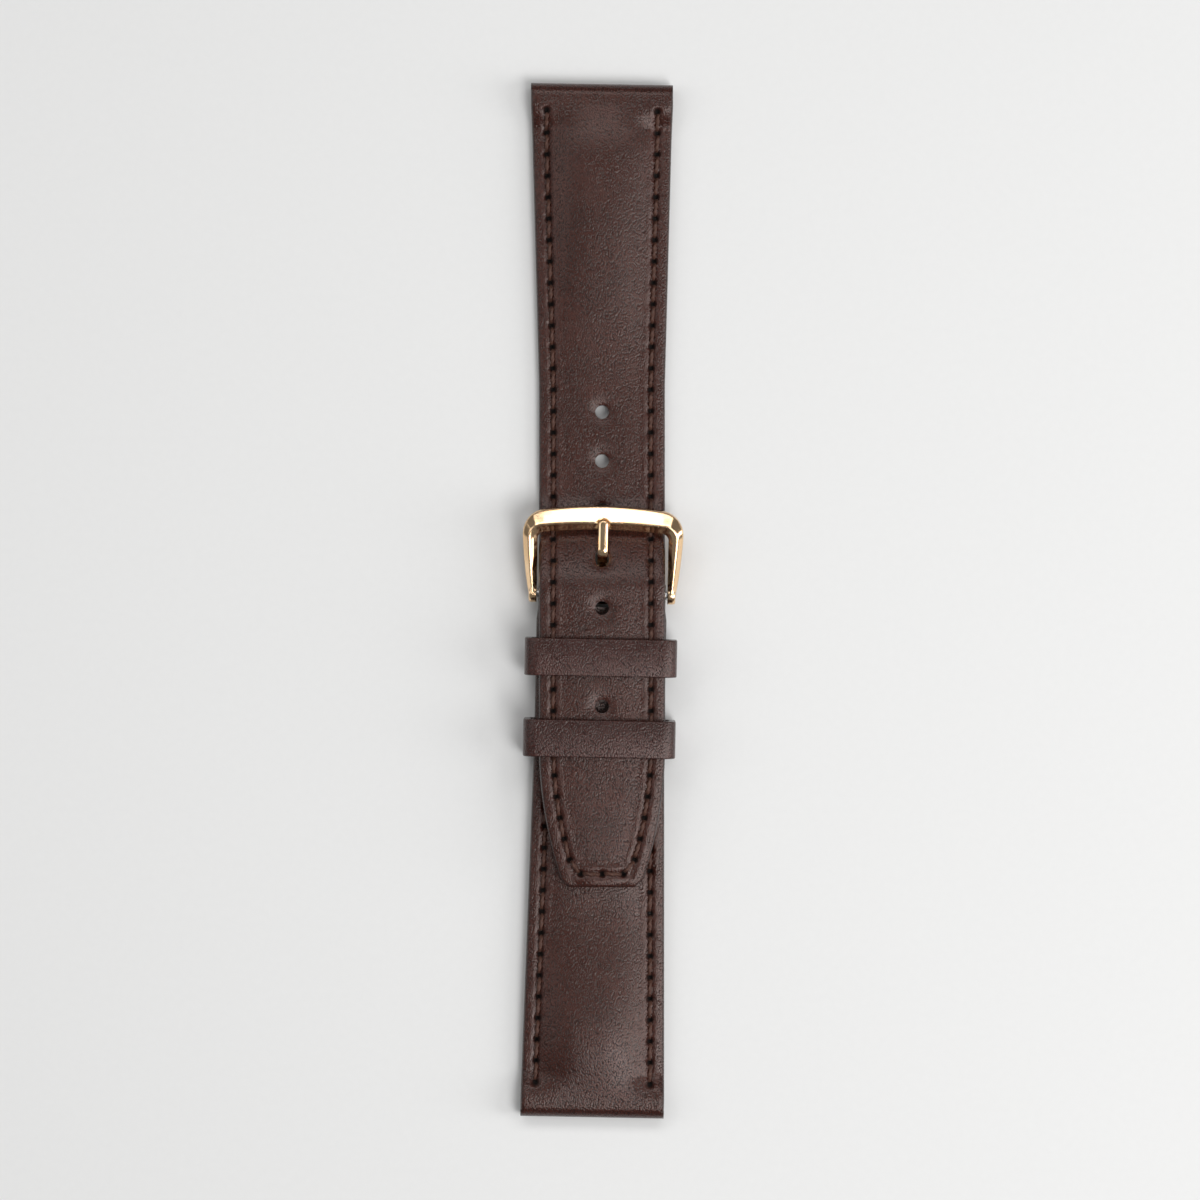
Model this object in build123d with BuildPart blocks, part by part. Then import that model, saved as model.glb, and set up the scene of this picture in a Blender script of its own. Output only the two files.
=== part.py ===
from build123d import *
import os
from math import atan, cos, radians, sin, tan

os.makedirs("parts", exist_ok=True)

# A two-piece padded leather watch strap, buckled and lying on its lining.
# The origin is the middle of its footprint, on the table. +Y runs along the
# long half to its lug end, +X goes across the strap and +Z is up.
# Reaches are measured along the strap from the axis of the buckle's spring bar.

# Plan of the long half, the one with the adjusting holes
lug_width = 20.0
long_shoulder_width = 19.6
long_waist_width = 17.74
long_reach = 71.9
long_square_length = 3.1
long_shoulder_setback = 8.0
long_waist_reach = 29.4
tip_reach = 41.2
tip_taper_length = 20.2
tip_corner_length = 1.1
tip_shoulder_width = 11.6
tip_flat_width = 9.2

# Plan of the short half, the one that carries the buckle
short_lug_width = 20.2
short_waist_width = 18.3
short_reach = 73.8
short_waist_reach = 20.0
loop_neck_reach = 3.6
loop_end_reach = 2.2
loop_end_width = 17.9
loop_ramp_reach = 6.0
short_square_length = 3.4

# Leather, from the face down
top_leather_thickness = 0.85
lining_thickness = 0.7
long_filler_thickness = 0.6
short_filler_thickness = 1.05
pad_thickness = 4.2
pad_crest_setback = 9.9
long_pad_start_reach = 24.0
short_pad_start_reach = 43.0
fold_back_length = 9.0
buckle_fold_back_reach = 13.0
filler_inset = 2.7

# Lug ends, which take a spring bar each
lug_bore_radius = 1.0
lug_loop_wall = 0.7

# Spring bar of the buckle
bar_radius = 0.75
bar_bore_radius = 0.56
barrel_half_length = 7.6
bar_lip_radius = 0.45
bar_lip_length = 0.4
plunger_radius = 0.5
plunger_length = 0.8
plunger_gap = 0.3
stem_radius = 0.4
flange_radius = 0.68
flange_thickness = 0.25
pivot_radius = 0.45
pivot_length = 1.05
spring_wire_radius = 0.14
spring_turns = 9
running_clearance = 0.05
loop_wall = 0.65

# How the halves lie: lean is the short half's turn in plan, seen from above
lean = radians(1.1)
seat_gap = 0.12
drape_start_reach = 0.5
drape_end_reach = 15.0

# Keepers
keeper_width = 5.0
keeper_thickness = 1.0
keeper_ease = 0.2
keeper_side_ease = 0.55
keeper_inner_radius = 0.9
keeper_outer_radius = 1.9
keeper_foot_radius = 0.3
keeper_foot_outer_radius = 1.1
fixed_keeper_foot_radius = 0.6
fixed_keeper_reach = 6.6
free_keeper_reach = 18.0

# Adjusting holes, counted from the one that the tongue is in
hole_radius = 0.95
hole_pitch = 6.91
used_hole_reach = 4.93
used_hole_stretch = 0.6
used_hole_pull = 0.12
holes_to_lug = 3
holes_to_tip = 3

# Seams
stitch_pitch = 3.0
thread_radius = 0.3
thread_proud = 0.1
stitch_dip = 0.45
needle_radius = 0.38
groove_width = 0.72
groove_depth = 0.6
seam_inset = 2.0
long_seam_start = 3.9
tip_seam_reach = 39.3
tip_seam_width = 7.9
short_seam_start = 4.9
short_seam_end_reach = 14.9

# Buckle frame
frame_rise = radians(14.5)
frame_thickness = 1.8
leg_end_width = 20.64
leg_inner_width = 18.4
leg_mid_width = 21.9
frame_width = 22.56
corner_inner_radius = 1.0
corner_outer_radius = 3.3
front_inner_reach = 8.6
front_inner_slope = radians(6)
front_outer_reach = 11.6
front_outer_slope = radians(8)
leg_mid_thickness = 2.2
corner_steps = 4
front_steps = 3
eye_radius = 1.3
eye_edge_radius = 0.3
notch_radius = 1.1
notch_reach = 9.5
notch_floor = 0.1

# Tongue
tongue_width = 1.5
tongue_thickness = 1.0
tongue_eye_wall = 0.6
tongue_edge_radius = 0.46
tongue_bend_radius = 0.75
tongue_low_reach = 4.35
tongue_low_height = 0.1
tongue_high_reach = 5.75
tongue_high_height = 3.3
tongue_tip_reach = 10.3
tongue_tip_height = 3.42
tongue_slot_ease = 0.3
tongue_slot_back = 0.35

# One overrun serves every cut
overrun = 1.0
stand = (Align.CENTER, Align.CENTER, Align.MIN)

strap_thickness = top_leather_thickness + long_filler_thickness + lining_thickness
short_thickness = top_leather_thickness + short_filler_thickness + lining_thickness
lug_loop_radius = lug_bore_radius + lug_loop_wall
bar_hole_radius = bar_radius + running_clearance
loop_radius = bar_hole_radius + loop_wall
long_lug_reach = long_reach - lug_loop_radius
short_lug_reach = short_reach - lug_loop_radius
pad_crest_reach = long_reach - pad_crest_setback
long_shoulder_reach = long_reach - long_shoulder_setback
short_crest_reach = short_reach - pad_crest_setback
reach_limit = long_reach + short_reach

# The short half rests on its lug loop and on the free keeper below it, so it is tilted.
free_keeper_end = free_keeper_reach + keeper_width
tilt = atan((keeper_thickness + keeper_ease / 2) / (short_lug_reach - free_keeper_end))
bar_y = (short_reach - long_reach) / 2
bar_z = (
    short_lug_reach * sin(tilt)
    + lug_loop_radius
    - (lug_loop_radius - loop_radius) * cos(tilt)
)
seat_height = bar_z + loop_radius + seat_gap

bar_point = Vector(0, bar_y, bar_z)
across = Vector(cos(lean), -sin(lean), 0)
ahead = Vector(sin(lean), cos(lean), 0)
up = Vector(0, 0, 1)


def raised(angle):
    """Direction along the leaning strap, raised by an angle towards the long half."""
    return ahead * cos(angle) + up * sin(angle)


def deck(angle, offset=0):
    """Plane through the bar's axis: x across the strap, y along it, z out of its face."""
    normal = across.cross(raised(angle))
    return Plane(origin=bar_point + normal * offset, x_dir=across, z_dir=normal)


def side(angle, offset=0):
    """Plane square to the bar's axis: x along the strap and y out of its face."""
    return Plane(origin=bar_point + across * offset, x_dir=raised(angle), z_dir=across)


long_side = Plane(origin=(0, bar_y, 0), x_dir=(0, 1, 0), z_dir=(1, 0, 0))
long_plan = Plane(origin=(0, bar_y, 0), x_dir=(1, 0, 0), z_dir=(0, 0, 1))
short_side = side(tilt)
short_plan = deck(tilt)


def rise(start, finish, heights):
    """Cubic curve through four evenly spaced control heights."""
    step = (finish - start) / 3
    return Bezier(*[(start + step * i, h) for i, h in enumerate(heights)])


def rise_height(reach, start, finish, heights):
    """Height of that curve at one reach."""
    t = (reach - start) / (finish - start)
    a, b, c, d = heights
    return (1 - t) ** 3 * a + 3 * (1 - t) ** 2 * t * b + 3 * (1 - t) * t**2 * c + t**3 * d


def seat(reach):
    """Height of the long half's underside where it lies on the short half."""
    return seat_height + reach * tan(tilt)


drape_third = (drape_end_reach - drape_start_reach) / 3
drape_heights = [seat(drape_start_reach), seat(drape_start_reach + drape_third), 0, 0]
lug_thickness = 2 * lug_loop_radius
pad_up_heights = [strap_thickness, strap_thickness, pad_thickness, pad_thickness]
pad_down_heights = [pad_thickness, pad_thickness, lug_thickness, lug_thickness]
tip_cut = tip_reach + overrun


def long_underside_height(reach):
    if reach < drape_start_reach:
        return seat(reach)
    if reach < drape_end_reach:
        return rise_height(reach, drape_start_reach, drape_end_reach, drape_heights)
    return 0


def long_face_height(reach):
    if reach < long_pad_start_reach:
        return long_underside_height(reach) + strap_thickness
    if reach < pad_crest_reach:
        return rise_height(reach, long_pad_start_reach, pad_crest_reach, pad_up_heights)
    return rise_height(reach, pad_crest_reach, long_lug_reach, pad_down_heights)


def long_underside(lift=0):
    """The long half's underside in profile, from past its tip to the lug loop, lifted."""
    with BuildLine() as chain:
        tip = (-tip_cut, seat(-tip_cut) + lift)
        Line(tip, (drape_start_reach, seat(drape_start_reach) + lift))
        rise(drape_start_reach, drape_end_reach, [h + lift for h in drape_heights])
        Line((drape_end_reach, lift), (long_lug_reach, lift))
    return chain.line


def long_face(drop=0):
    """The long half's face over the same stretch, lowered by a drop."""
    lift = strap_thickness - drop
    with BuildLine() as chain:
        tip = (-tip_cut, seat(-tip_cut) + lift)
        Line(tip, (drape_start_reach, seat(drape_start_reach) + lift))
        rise(drape_start_reach, drape_end_reach, [h + lift for h in drape_heights])
        Line((drape_end_reach, lift), (long_pad_start_reach, lift))
        rise(long_pad_start_reach, pad_crest_reach, [h - drop for h in pad_up_heights])
        rise(pad_crest_reach, long_lug_reach, [h - drop for h in pad_down_heights])
    return chain.line


# Heights of the short half, from the bar's axis and square to its underside
short_low = -loop_radius
short_waist_high = short_low + short_thickness
short_pad_high = short_low + pad_thickness
short_lug_high = short_low + lug_thickness
short_lug_heights = [short_lug_high, short_lug_high, short_pad_high, short_pad_high]
short_pad_heights = [short_pad_high, short_pad_high, short_waist_high, short_waist_high]
loop_heights = [short_waist_high, short_waist_high, loop_radius, loop_radius]


def short_face_height(reach):
    """Height of the short half's face at a distance back from the bar."""
    if reach > short_crest_reach:
        return rise_height(-reach, -short_lug_reach, -short_crest_reach, short_lug_heights)
    if reach > short_pad_start_reach:
        return rise_height(-reach, -short_crest_reach, -short_pad_start_reach, short_pad_heights)
    return short_waist_high


def short_underside(lift=0):
    with BuildLine() as chain:
        Line((-short_lug_reach, short_low + lift), (0, short_low + lift))
    return chain.line


def short_face(drop=0):
    with BuildLine() as chain:
        rise(-short_lug_reach, -short_crest_reach, [h - drop for h in short_lug_heights])
        rise(-short_crest_reach, -short_pad_start_reach, [h - drop for h in short_pad_heights])
        waist = short_waist_high - drop
        Line((-short_pad_start_reach, waist), (-loop_ramp_reach, waist))
        rise(-loop_ramp_reach, 0, [h - drop for h in loop_heights])
    return chain.line


def slab(lower, upper):
    """Closed profile between a lower and an upper curve."""
    with BuildSketch() as profile:
        with BuildLine():
            add(lower)
            add(upper)
            Line(lower @ 0, upper @ 0)
            Line(lower @ 1, upper @ 1)
        make_face()
    return profile.sketch


def long_outline():
    """Plan of the long half, drawn on its right side and mirrored."""
    waist = long_waist_width / 2
    taper_start = tip_taper_length - tip_reach
    flat_end = (tip_flat_width / 2, -tip_reach)
    corner = (tip_shoulder_width / 2, tip_corner_length - tip_reach)
    with BuildSketch() as plan:
        with BuildLine():
            Polyline((0, -tip_reach), flat_end, corner)
            TangentArc((waist, taper_start), corner, tangent=(0, -1))
            Polyline(
                (waist, taper_start),
                (waist, long_waist_reach),
                (long_shoulder_width / 2, long_shoulder_reach),
                (lug_width / 2, long_reach - long_square_length),
                (lug_width / 2, long_reach),
                (0, long_reach),
            )
            mirror(about=Plane.YZ)
        make_face()
    return plan.sketch


def short_outline():
    """Plan of the short half, narrowed at the loop to fit between the buckle's legs."""
    with BuildSketch() as plan:
        with BuildLine():
            Polyline(
                (0, loop_radius),
                (loop_end_width / 2, loop_radius),
                (loop_end_width / 2, -loop_end_reach),
                (short_waist_width / 2, -loop_neck_reach),
                (short_waist_width / 2, -short_waist_reach),
                (short_lug_width / 2, short_square_length - short_reach),
                (short_lug_width / 2, -short_reach),
                (0, -short_reach),
            )
            mirror(about=Plane.YZ)
        make_face()
    return plan.sketch


def clipped(outline, low_reach, high_reach, inset=0):
    """Plan outline between two reaches, drawn in from its edge by an inset."""
    middle = (low_reach + high_reach) / 2
    with BuildSketch() as plan:
        add(outline)
        if inset:
            offset(amount=-inset)
        with Locations((0, middle)):
            Rectangle(2 * lug_width, high_reach - low_reach, mode=Mode.INTERSECT)
    return plan.sketch


# The long half: its outer form, then the layers that it is made of
with BuildPart() as long_blank:
    with BuildSketch(long_side):
        add(slab(long_underside(), long_face()))
        with Locations((long_lug_reach, lug_loop_radius)):
            Circle(lug_loop_radius)
    extrude(amount=lug_width, both=True)
    with BuildSketch(long_plan):
        add(long_outline())
    extrude(amount=reach_limit, mode=Mode.INTERSECT)

lug_fold_reach = long_lug_reach - fold_back_length
with BuildPart() as long_lining_blank:
    with BuildSketch(long_side):
        add(slab(long_underside(), long_underside(lining_thickness)))
    extrude(amount=lug_width, both=True)
    with BuildSketch(long_plan):
        add(clipped(long_outline(), -tip_reach, lug_fold_reach))
    extrude(amount=reach_limit, mode=Mode.INTERSECT)

with BuildPart() as long_filler_blank:
    with BuildSketch(long_side):
        add(slab(long_underside(lining_thickness), long_face(top_leather_thickness)))
    extrude(amount=lug_width, both=True)
    with BuildSketch(long_plan):
        add(clipped(long_outline(), -tip_reach, long_lug_reach, filler_inset))
    extrude(amount=reach_limit, mode=Mode.INTERSECT)
    with BuildSketch(long_side):
        with Locations((long_lug_reach, lug_loop_radius)):
            Circle(lug_loop_radius)
    extrude(amount=lug_width, both=True, mode=Mode.SUBTRACT)

# Holes that the punch makes, with the one that the tongue has stretched
with BuildPart() as punch:
    with BuildSketch(long_plan):
        for count in range(-holes_to_tip, holes_to_lug + 1):
            with Locations((0, used_hole_reach + count * hole_pitch)):
                Circle(hole_radius)
        with Locations((0, used_hole_reach + used_hole_pull)):
            SlotCenterToCenter(used_hole_stretch, hole_radius * 2, rotation=90)
    extrude(amount=reach_limit)

# The long half's seam, a U from lug end to lug end round the tip
with BuildLine() as long_seam:
    seam_waist = long_waist_width / 2 - seam_inset
    seam_shoulder = long_shoulder_width / 2 - seam_inset
    seam_corner = (tip_seam_width / 2, -tip_seam_reach)
    taper_start = tip_taper_length - tip_reach
    Line((0, -tip_seam_reach), seam_corner)
    TangentArc((seam_waist, taper_start), seam_corner, tangent=(0, -1))
    Polyline(
        (seam_waist, taper_start),
        (seam_waist, long_waist_reach),
        (seam_shoulder, long_shoulder_reach),
        (seam_shoulder, long_reach - long_seam_start),
    )
    mirror(about=Plane.YZ)


def spaced(path):
    """Needle holes at even steps along a path, as near to the pitch as they fit."""
    count = round(path.length / stitch_pitch)
    return [path @ (i / count) for i in range(count + 1)]


def wave(points, dip):
    """Path of a thread: straight between needle holes, with a dip into each of them."""
    path = [points[0] + dip]
    for start, finish in zip(points, points[1:]):
        step = (finish - start).normalized() * needle_radius
        path += [start + step, finish - step, finish + dip]
    return path


def thread_run(points, dip):
    """Round thread along a seam."""
    with BuildPart() as thread:
        with BuildLine():
            path = Polyline(*wave(points, dip))
        with BuildSketch(Plane(origin=path @ 0, z_dir=path % 0)):
            Circle(thread_radius)
        sweep(transition=Transition.ROUND)
    return thread.part


def dots(needles, radius):
    """Circles on the needle holes of a seam, in plan."""
    with BuildSketch() as plan:
        with Locations(*needles):
            Circle(radius)
    return plan.sketch


top_sink = thread_radius - thread_proud
bobbin_lift = groove_depth - thread_radius - running_clearance
long_needles = spaced(long_seam.wires()[0])
long_floor = Plane(origin=(0, bar_y, -overrun), x_dir=(1, 0, 0), z_dir=(0, 0, 1))


def long_point(needle, height):
    return Vector(needle.X, bar_y + needle.Y, height)


long_tops = [long_point(n, long_face_height(n.Y) - top_sink) for n in long_needles]
long_lows = [long_point(n, long_underside_height(n.Y) + bobbin_lift) for n in long_needles]

with BuildPart() as long_seam_thread:
    add(thread_run(long_tops, up * -stitch_dip))

with BuildPart() as long_bobbin_thread:
    add(thread_run(long_lows, up * stitch_dip))

# Creases that the runs lie in, face and lining, and the needle holes between them
with BuildPart() as long_creases:
    with BuildSketch(long_side):
        add(slab(long_face(groove_depth), long_face(-overrun)))
        add(slab(long_underside(-overrun), long_underside(groove_depth)))
    extrude(amount=lug_width, both=True)
    with BuildSketch(long_floor):
        trace(long_seam.wires()[0], line_width=groove_width)
    extrude(amount=reach_limit, mode=Mode.INTERSECT)

with BuildPart() as long_needle_holes:
    with BuildSketch(long_floor):
        add(dots(long_needles, needle_radius))
    extrude(amount=reach_limit)

with BuildPart() as long_lining:
    add(long_lining_blank.part)
    add(punch.part, mode=Mode.SUBTRACT)
    add(long_creases.part, mode=Mode.SUBTRACT)
    add(long_needle_holes.part, mode=Mode.SUBTRACT)

with BuildPart() as long_top_leather:
    add(long_blank.part)
    add(long_lining_blank.part, mode=Mode.SUBTRACT)
    add(long_filler_blank.part, mode=Mode.SUBTRACT)
    add(punch.part, mode=Mode.SUBTRACT)
    add(long_creases.part, mode=Mode.SUBTRACT)
    add(long_needle_holes.part, mode=Mode.SUBTRACT)
    with BuildSketch(long_side):
        with Locations((long_lug_reach, lug_loop_radius)):
            Circle(lug_bore_radius)
    extrude(amount=lug_width, both=True, mode=Mode.SUBTRACT)

with BuildPart() as long_filler:
    add(long_filler_blank.part)
    add(punch.part, mode=Mode.SUBTRACT)


def pierce(radius, reach, height):
    """Rod right across the short half, at a reach and a height from the bar's axis."""
    with BuildPart() as cutter:
        with BuildSketch(short_side):
            with Locations((reach, height)):
                Circle(radius)
        extrude(amount=lug_width, both=True)
    return cutter.part


# The short half: its outer form, then its layers
lug_height = lug_loop_radius - loop_radius
with BuildPart() as short_blank:
    with BuildSketch(short_side):
        add(slab(short_underside(), short_face()))
        Circle(loop_radius)
        with Locations((-short_lug_reach, lug_height)):
            Circle(lug_loop_radius)
    extrude(amount=lug_width, both=True)
    with BuildSketch(deck(tilt, -reach_limit / 2)):
        add(short_outline())
    extrude(amount=reach_limit, mode=Mode.INTERSECT)

with BuildPart() as short_lining_blank:
    with BuildSketch(short_side):
        add(slab(short_underside(), short_underside(lining_thickness)))
    extrude(amount=lug_width, both=True)
    with BuildSketch(deck(tilt, -reach_limit / 2)):
        fold_reach = fold_back_length - short_lug_reach
        add(clipped(short_outline(), fold_reach, -buckle_fold_back_reach))
    extrude(amount=reach_limit, mode=Mode.INTERSECT)

with BuildPart() as short_filler:
    with BuildSketch(short_side):
        add(slab(short_underside(lining_thickness), short_face(top_leather_thickness)))
    extrude(amount=lug_width, both=True)
    with BuildSketch(deck(tilt, -reach_limit / 2)):
        reaches = (-short_lug_reach, -buckle_fold_back_reach)
        add(clipped(short_outline(), *reaches, inset=filler_inset))
    extrude(amount=reach_limit, mode=Mode.INTERSECT)
    add(pierce(lug_loop_radius, -short_lug_reach, lug_height), mode=Mode.SUBTRACT)

# The short half's two seams, one down each side
short_seam_length = short_reach - short_seam_start - short_seam_end_reach
short_taper = (short_lug_width - short_waist_width) / 2
short_taper /= short_reach - short_square_length - short_waist_reach


def short_seam(hand):
    """Seam down the left (-1) or right (+1) side, in plan from the lug end."""
    start_reach = short_reach - short_seam_start
    waist = short_waist_width / 2 - seam_inset
    wide = waist + (start_reach - short_waist_reach) * short_taper
    with BuildLine() as seam:
        Polyline(
            (hand * wide, -start_reach),
            (hand * waist, -short_waist_reach),
            (hand * waist, -short_seam_end_reach),
        )
    return seam.line


def short_point(needle, height):
    return short_plan.from_local_coords(Vector(needle.X, needle.Y, height))


short_normal = short_plan.z_dir
short_sides = {"left": short_seam(-1), "right": short_seam(1)}
short_needles = {hand: spaced(seam.wires()[0]) for hand, seam in short_sides.items()}


def short_thread(hand):
    tops = [short_point(n, short_face_height(-n.Y) - top_sink) for n in short_needles[hand]]
    return thread_run(tops, short_normal * -stitch_dip)


def short_bobbin(hand):
    lows = [short_point(n, short_low + bobbin_lift) for n in short_needles[hand]]
    return thread_run(lows, short_normal * stitch_dip)


with BuildPart() as short_seam_thread_left:
    add(short_thread("left"))

with BuildPart() as short_seam_thread_right:
    add(short_thread("right"))

with BuildPart() as short_bobbin_thread_left:
    add(short_bobbin("left"))

with BuildPart() as short_bobbin_thread_right:
    add(short_bobbin("right"))

all_short_needles = short_needles["left"] + short_needles["right"]
with BuildPart() as short_creases:
    with BuildSketch(short_side):
        add(slab(short_face(groove_depth), short_face(-overrun)))
        add(slab(short_underside(-overrun), short_underside(groove_depth)))
    extrude(amount=lug_width, both=True)
    with BuildSketch(deck(tilt, -reach_limit / 2)):
        trace(short_sides["left"].wires()[0], line_width=groove_width)
        trace(short_sides["right"].wires()[0], line_width=groove_width)
    extrude(amount=reach_limit, mode=Mode.INTERSECT)

with BuildPart() as short_needle_holes:
    with BuildSketch(deck(tilt, -reach_limit / 2)):
        add(dots(all_short_needles, needle_radius))
    extrude(amount=reach_limit)

with BuildPart() as short_lining:
    add(short_lining_blank.part)
    add(short_creases.part, mode=Mode.SUBTRACT)
    add(short_needle_holes.part, mode=Mode.SUBTRACT)


# Keepers: loops of leather strip, the fixed one with its foot between the layers
def rounded(width, low, high, foot_radius, shoulder_radius):
    """Upright rectangle with its own radius at the foot and at the shoulders."""
    with BuildSketch() as shape:
        with Locations((0, (low + high) / 2)):
            Rectangle(width, high - low)
        corners = shape.vertices().group_by(Axis.Y)
        fillet(corners[0], foot_radius)
        fillet(shape.vertices().group_by(Axis.Y)[-1], shoulder_radius)
    return shape.sketch


keeper_inner_width = short_waist_width + 2 * keeper_side_ease
keeper_outer_width = keeper_inner_width + 2 * keeper_thickness
keeper_inner_high = loop_radius + seat_gap + strap_thickness + keeper_ease
keeper_outer_high = keeper_inner_high + keeper_thickness


def keeper(reach, outer_low, inner_low, foot, inner_foot):
    """Closed loop of strip, from a reach behind the bar over its own width."""
    strip = Plane(
        origin=bar_point - raised(tilt) * reach, x_dir=across, z_dir=raised(tilt) * -1
    )
    with BuildPart() as loop:
        with BuildSketch(strip):
            high = keeper_outer_high
            add(rounded(keeper_outer_width, outer_low, high, foot, keeper_outer_radius))
            high = keeper_inner_high
            hole = rounded(keeper_inner_width, inner_low, high, inner_foot, keeper_inner_radius)
            add(hole, mode=Mode.SUBTRACT)
        extrude(amount=keeper_width)
    return loop.part


with BuildPart() as fixed_keeper:
    low = short_low + lining_thickness
    high = low + short_filler_thickness
    add(keeper(fixed_keeper_reach, low, high, fixed_keeper_foot_radius, keeper_foot_radius))

with BuildPart() as free_keeper:
    high = short_low - keeper_ease / 2
    low = high - keeper_thickness
    add(keeper(free_keeper_reach, low, high, keeper_foot_outer_radius, keeper_foot_radius))

with BuildPart() as short_top_leather:
    add(short_blank.part)
    add(short_lining_blank.part, mode=Mode.SUBTRACT)
    add(short_filler.part, mode=Mode.SUBTRACT)
    add(short_creases.part, mode=Mode.SUBTRACT)
    add(short_needle_holes.part, mode=Mode.SUBTRACT)
    add(fixed_keeper.part, mode=Mode.SUBTRACT)
    add(pierce(lug_bore_radius, -short_lug_reach, lug_height), mode=Mode.SUBTRACT)
    add(pierce(bar_hole_radius, 0, 0), mode=Mode.SUBTRACT)
    slot_back = -loop_radius - tongue_slot_back
    with BuildSketch(deck(tilt, -reach_limit / 2)):
        with Locations((0, slot_back / 2 + overrun)):
            Rectangle(tongue_width + 2 * tongue_slot_ease, 2 * overrun - slot_back)
    extrude(amount=reach_limit, mode=Mode.SUBTRACT)


# Spring bar of the buckle: a barrel with drawn-in ends, a spring and two sprung tips
flange_reach = leg_inner_width / 2 - 2 * running_clearance
plunger_outer_reach = barrel_half_length - bar_lip_length - plunger_gap
plunger_inner_reach = plunger_outer_reach - plunger_length
bar_cavity_half_length = barrel_half_length - bar_lip_length


def rod(start, finish, radius):
    """Solid rod on the bar's axis, between two offsets across the strap."""
    with BuildPart() as piece:
        with Locations(Plane(origin=bar_point + across * start, z_dir=across)):
            Cylinder(radius, finish - start, align=stand)
    return piece.part


with BuildPart() as spring_bar_barrel:
    add(rod(-barrel_half_length, barrel_half_length, bar_radius))
    cavity = rod(-bar_cavity_half_length, bar_cavity_half_length, bar_bore_radius)
    add(cavity, mode=Mode.SUBTRACT)
    add(rod(-barrel_half_length, barrel_half_length, bar_lip_radius), mode=Mode.SUBTRACT)

with BuildPart() as spring_bar_tip_right:
    add(rod(plunger_inner_reach, plunger_outer_reach, plunger_radius))
    add(rod(plunger_outer_reach, flange_reach - flange_thickness, stem_radius))
    add(rod(flange_reach - flange_thickness, flange_reach, flange_radius))
    add(rod(flange_reach, flange_reach + pivot_length, pivot_radius))

with BuildPart() as spring_bar_tip_left:
    add(spring_bar_tip_right.part.mirror(Plane(origin=bar_point, z_dir=across)))

spring_half_length = plunger_inner_reach - running_clearance - spring_wire_radius
spring_radius = bar_bore_radius - running_clearance - spring_wire_radius
with BuildPart() as spring_bar_spring:
    with BuildLine():
        coil = Helix(
            pitch=2 * spring_half_length / spring_turns,
            height=2 * spring_half_length,
            radius=spring_radius,
            center=bar_point - across * spring_half_length,
            direction=across,
        )
    with BuildSketch(Plane(origin=coil @ 0, z_dir=coil % 0)):
        Circle(spring_wire_radius)
    sweep(path=coil, is_frenet=True)

# Buckle frame: faceted sections from one leg's end round to the middle of the front bar
lengthen = 1 / cos(frame_rise)
half_inner = leg_inner_width / 2
half_frame = frame_width / 2
leg_base = leg_end_width / 2
leg_mid = leg_mid_width / 2
leg_mid_reach = (front_outer_reach - corner_outer_radius) / 2
front_half = frame_thickness / 2

# Shares of a section's width at its ridge and its shelf, then of half its thickness at
# the top of the outer wall, at the shelf and at the top of the inner wall
leg_end_shares = (0.5, 0.3, 0.45, 0.85, 0.2)
leg_mid_shares = (0.55, 0.3, 0.3, 0.8, 0.1)
leg_top_shares = (0.6, 0.3, 0.1, 0.75, 0.0)
corner_end_shares = (0.42, 0.1, -0.35, 0.2, 0.0)
front_middle_shares = (0.36, 0.08, -0.35, 0.2, 0.0)


def blended(first, last, share):
    """Values part of the way from one set of shares to another."""
    return [a + (b - a) * share for a, b in zip(first, last)]


def on_arc(x, reach, radius, angle):
    return (x - radius + radius * cos(angle), reach - radius + radius * sin(angle))


def frame_section(inner, outer, half, shares):
    """Section across the frame: flat underside, outer wall, bevels up to a ridge."""
    plan = deck(frame_rise)
    origin = plan.from_local_coords(Vector(inner[0], inner[1] * lengthen))
    end = plan.from_local_coords(Vector(outer[0], outer[1] * lengthen))
    width = (end - origin).length
    direction = (end - origin).normalized()
    ridge_share, shelf_share, wall_high_share, shelf_high_share, inner_high_share = shares
    with BuildSketch(
        Plane(origin=origin, x_dir=direction, z_dir=direction.cross(plan.z_dir))
    ) as profile:
        with BuildLine():
            Polyline(
                (0, -half),
                (width, -half),
                (width, half * wall_high_share),
                (width * ridge_share, half),
                (width * shelf_share, half * shelf_high_share),
                (0, half * inner_high_share),
                close=True,
            )
        make_face()
    return profile.sketch


def corner_section(share):
    """Section at a share of the turn from the leg to where the front bar's bow begins."""
    inner_angle = (radians(90) - front_inner_slope) * share
    outer_angle = (radians(90) - front_outer_slope) * share
    inner = on_arc(half_inner, front_inner_reach, corner_inner_radius, inner_angle)
    outer = on_arc(half_frame, front_outer_reach, corner_outer_radius, outer_angle)
    shares = blended(leg_top_shares, corner_end_shares, share)
    return frame_section(inner, outer, front_half, shares)


def bowed(start, slope, out):
    """Point of a bow that leaves its start at a slope, at a share out from the middle."""
    return (start[0] * out, start[1] + start[0] * tan(slope) / 2 * (1 - out**2))


def front_section(share):
    """Section at a share of the way from the corner to the middle of the front bar."""
    inner_angle = radians(90) - front_inner_slope
    outer_angle = radians(90) - front_outer_slope
    inner = on_arc(half_inner, front_inner_reach, corner_inner_radius, inner_angle)
    outer = on_arc(half_frame, front_outer_reach, corner_outer_radius, outer_angle)
    inner = bowed(inner, front_inner_slope, 1 - share)
    outer = bowed(outer, front_outer_slope, 1 - share)
    shares = blended(corner_end_shares, front_middle_shares, share)
    return frame_section(inner, outer, front_half, shares)


leg_middle = ((half_inner, leg_mid_reach), (leg_mid, leg_mid_reach))
leg_sections = [
    frame_section((half_inner, 0), (leg_base, 0), eye_radius, leg_end_shares),
    frame_section(*leg_middle, leg_mid_thickness / 2, leg_mid_shares),
    corner_section(0),
]

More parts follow.
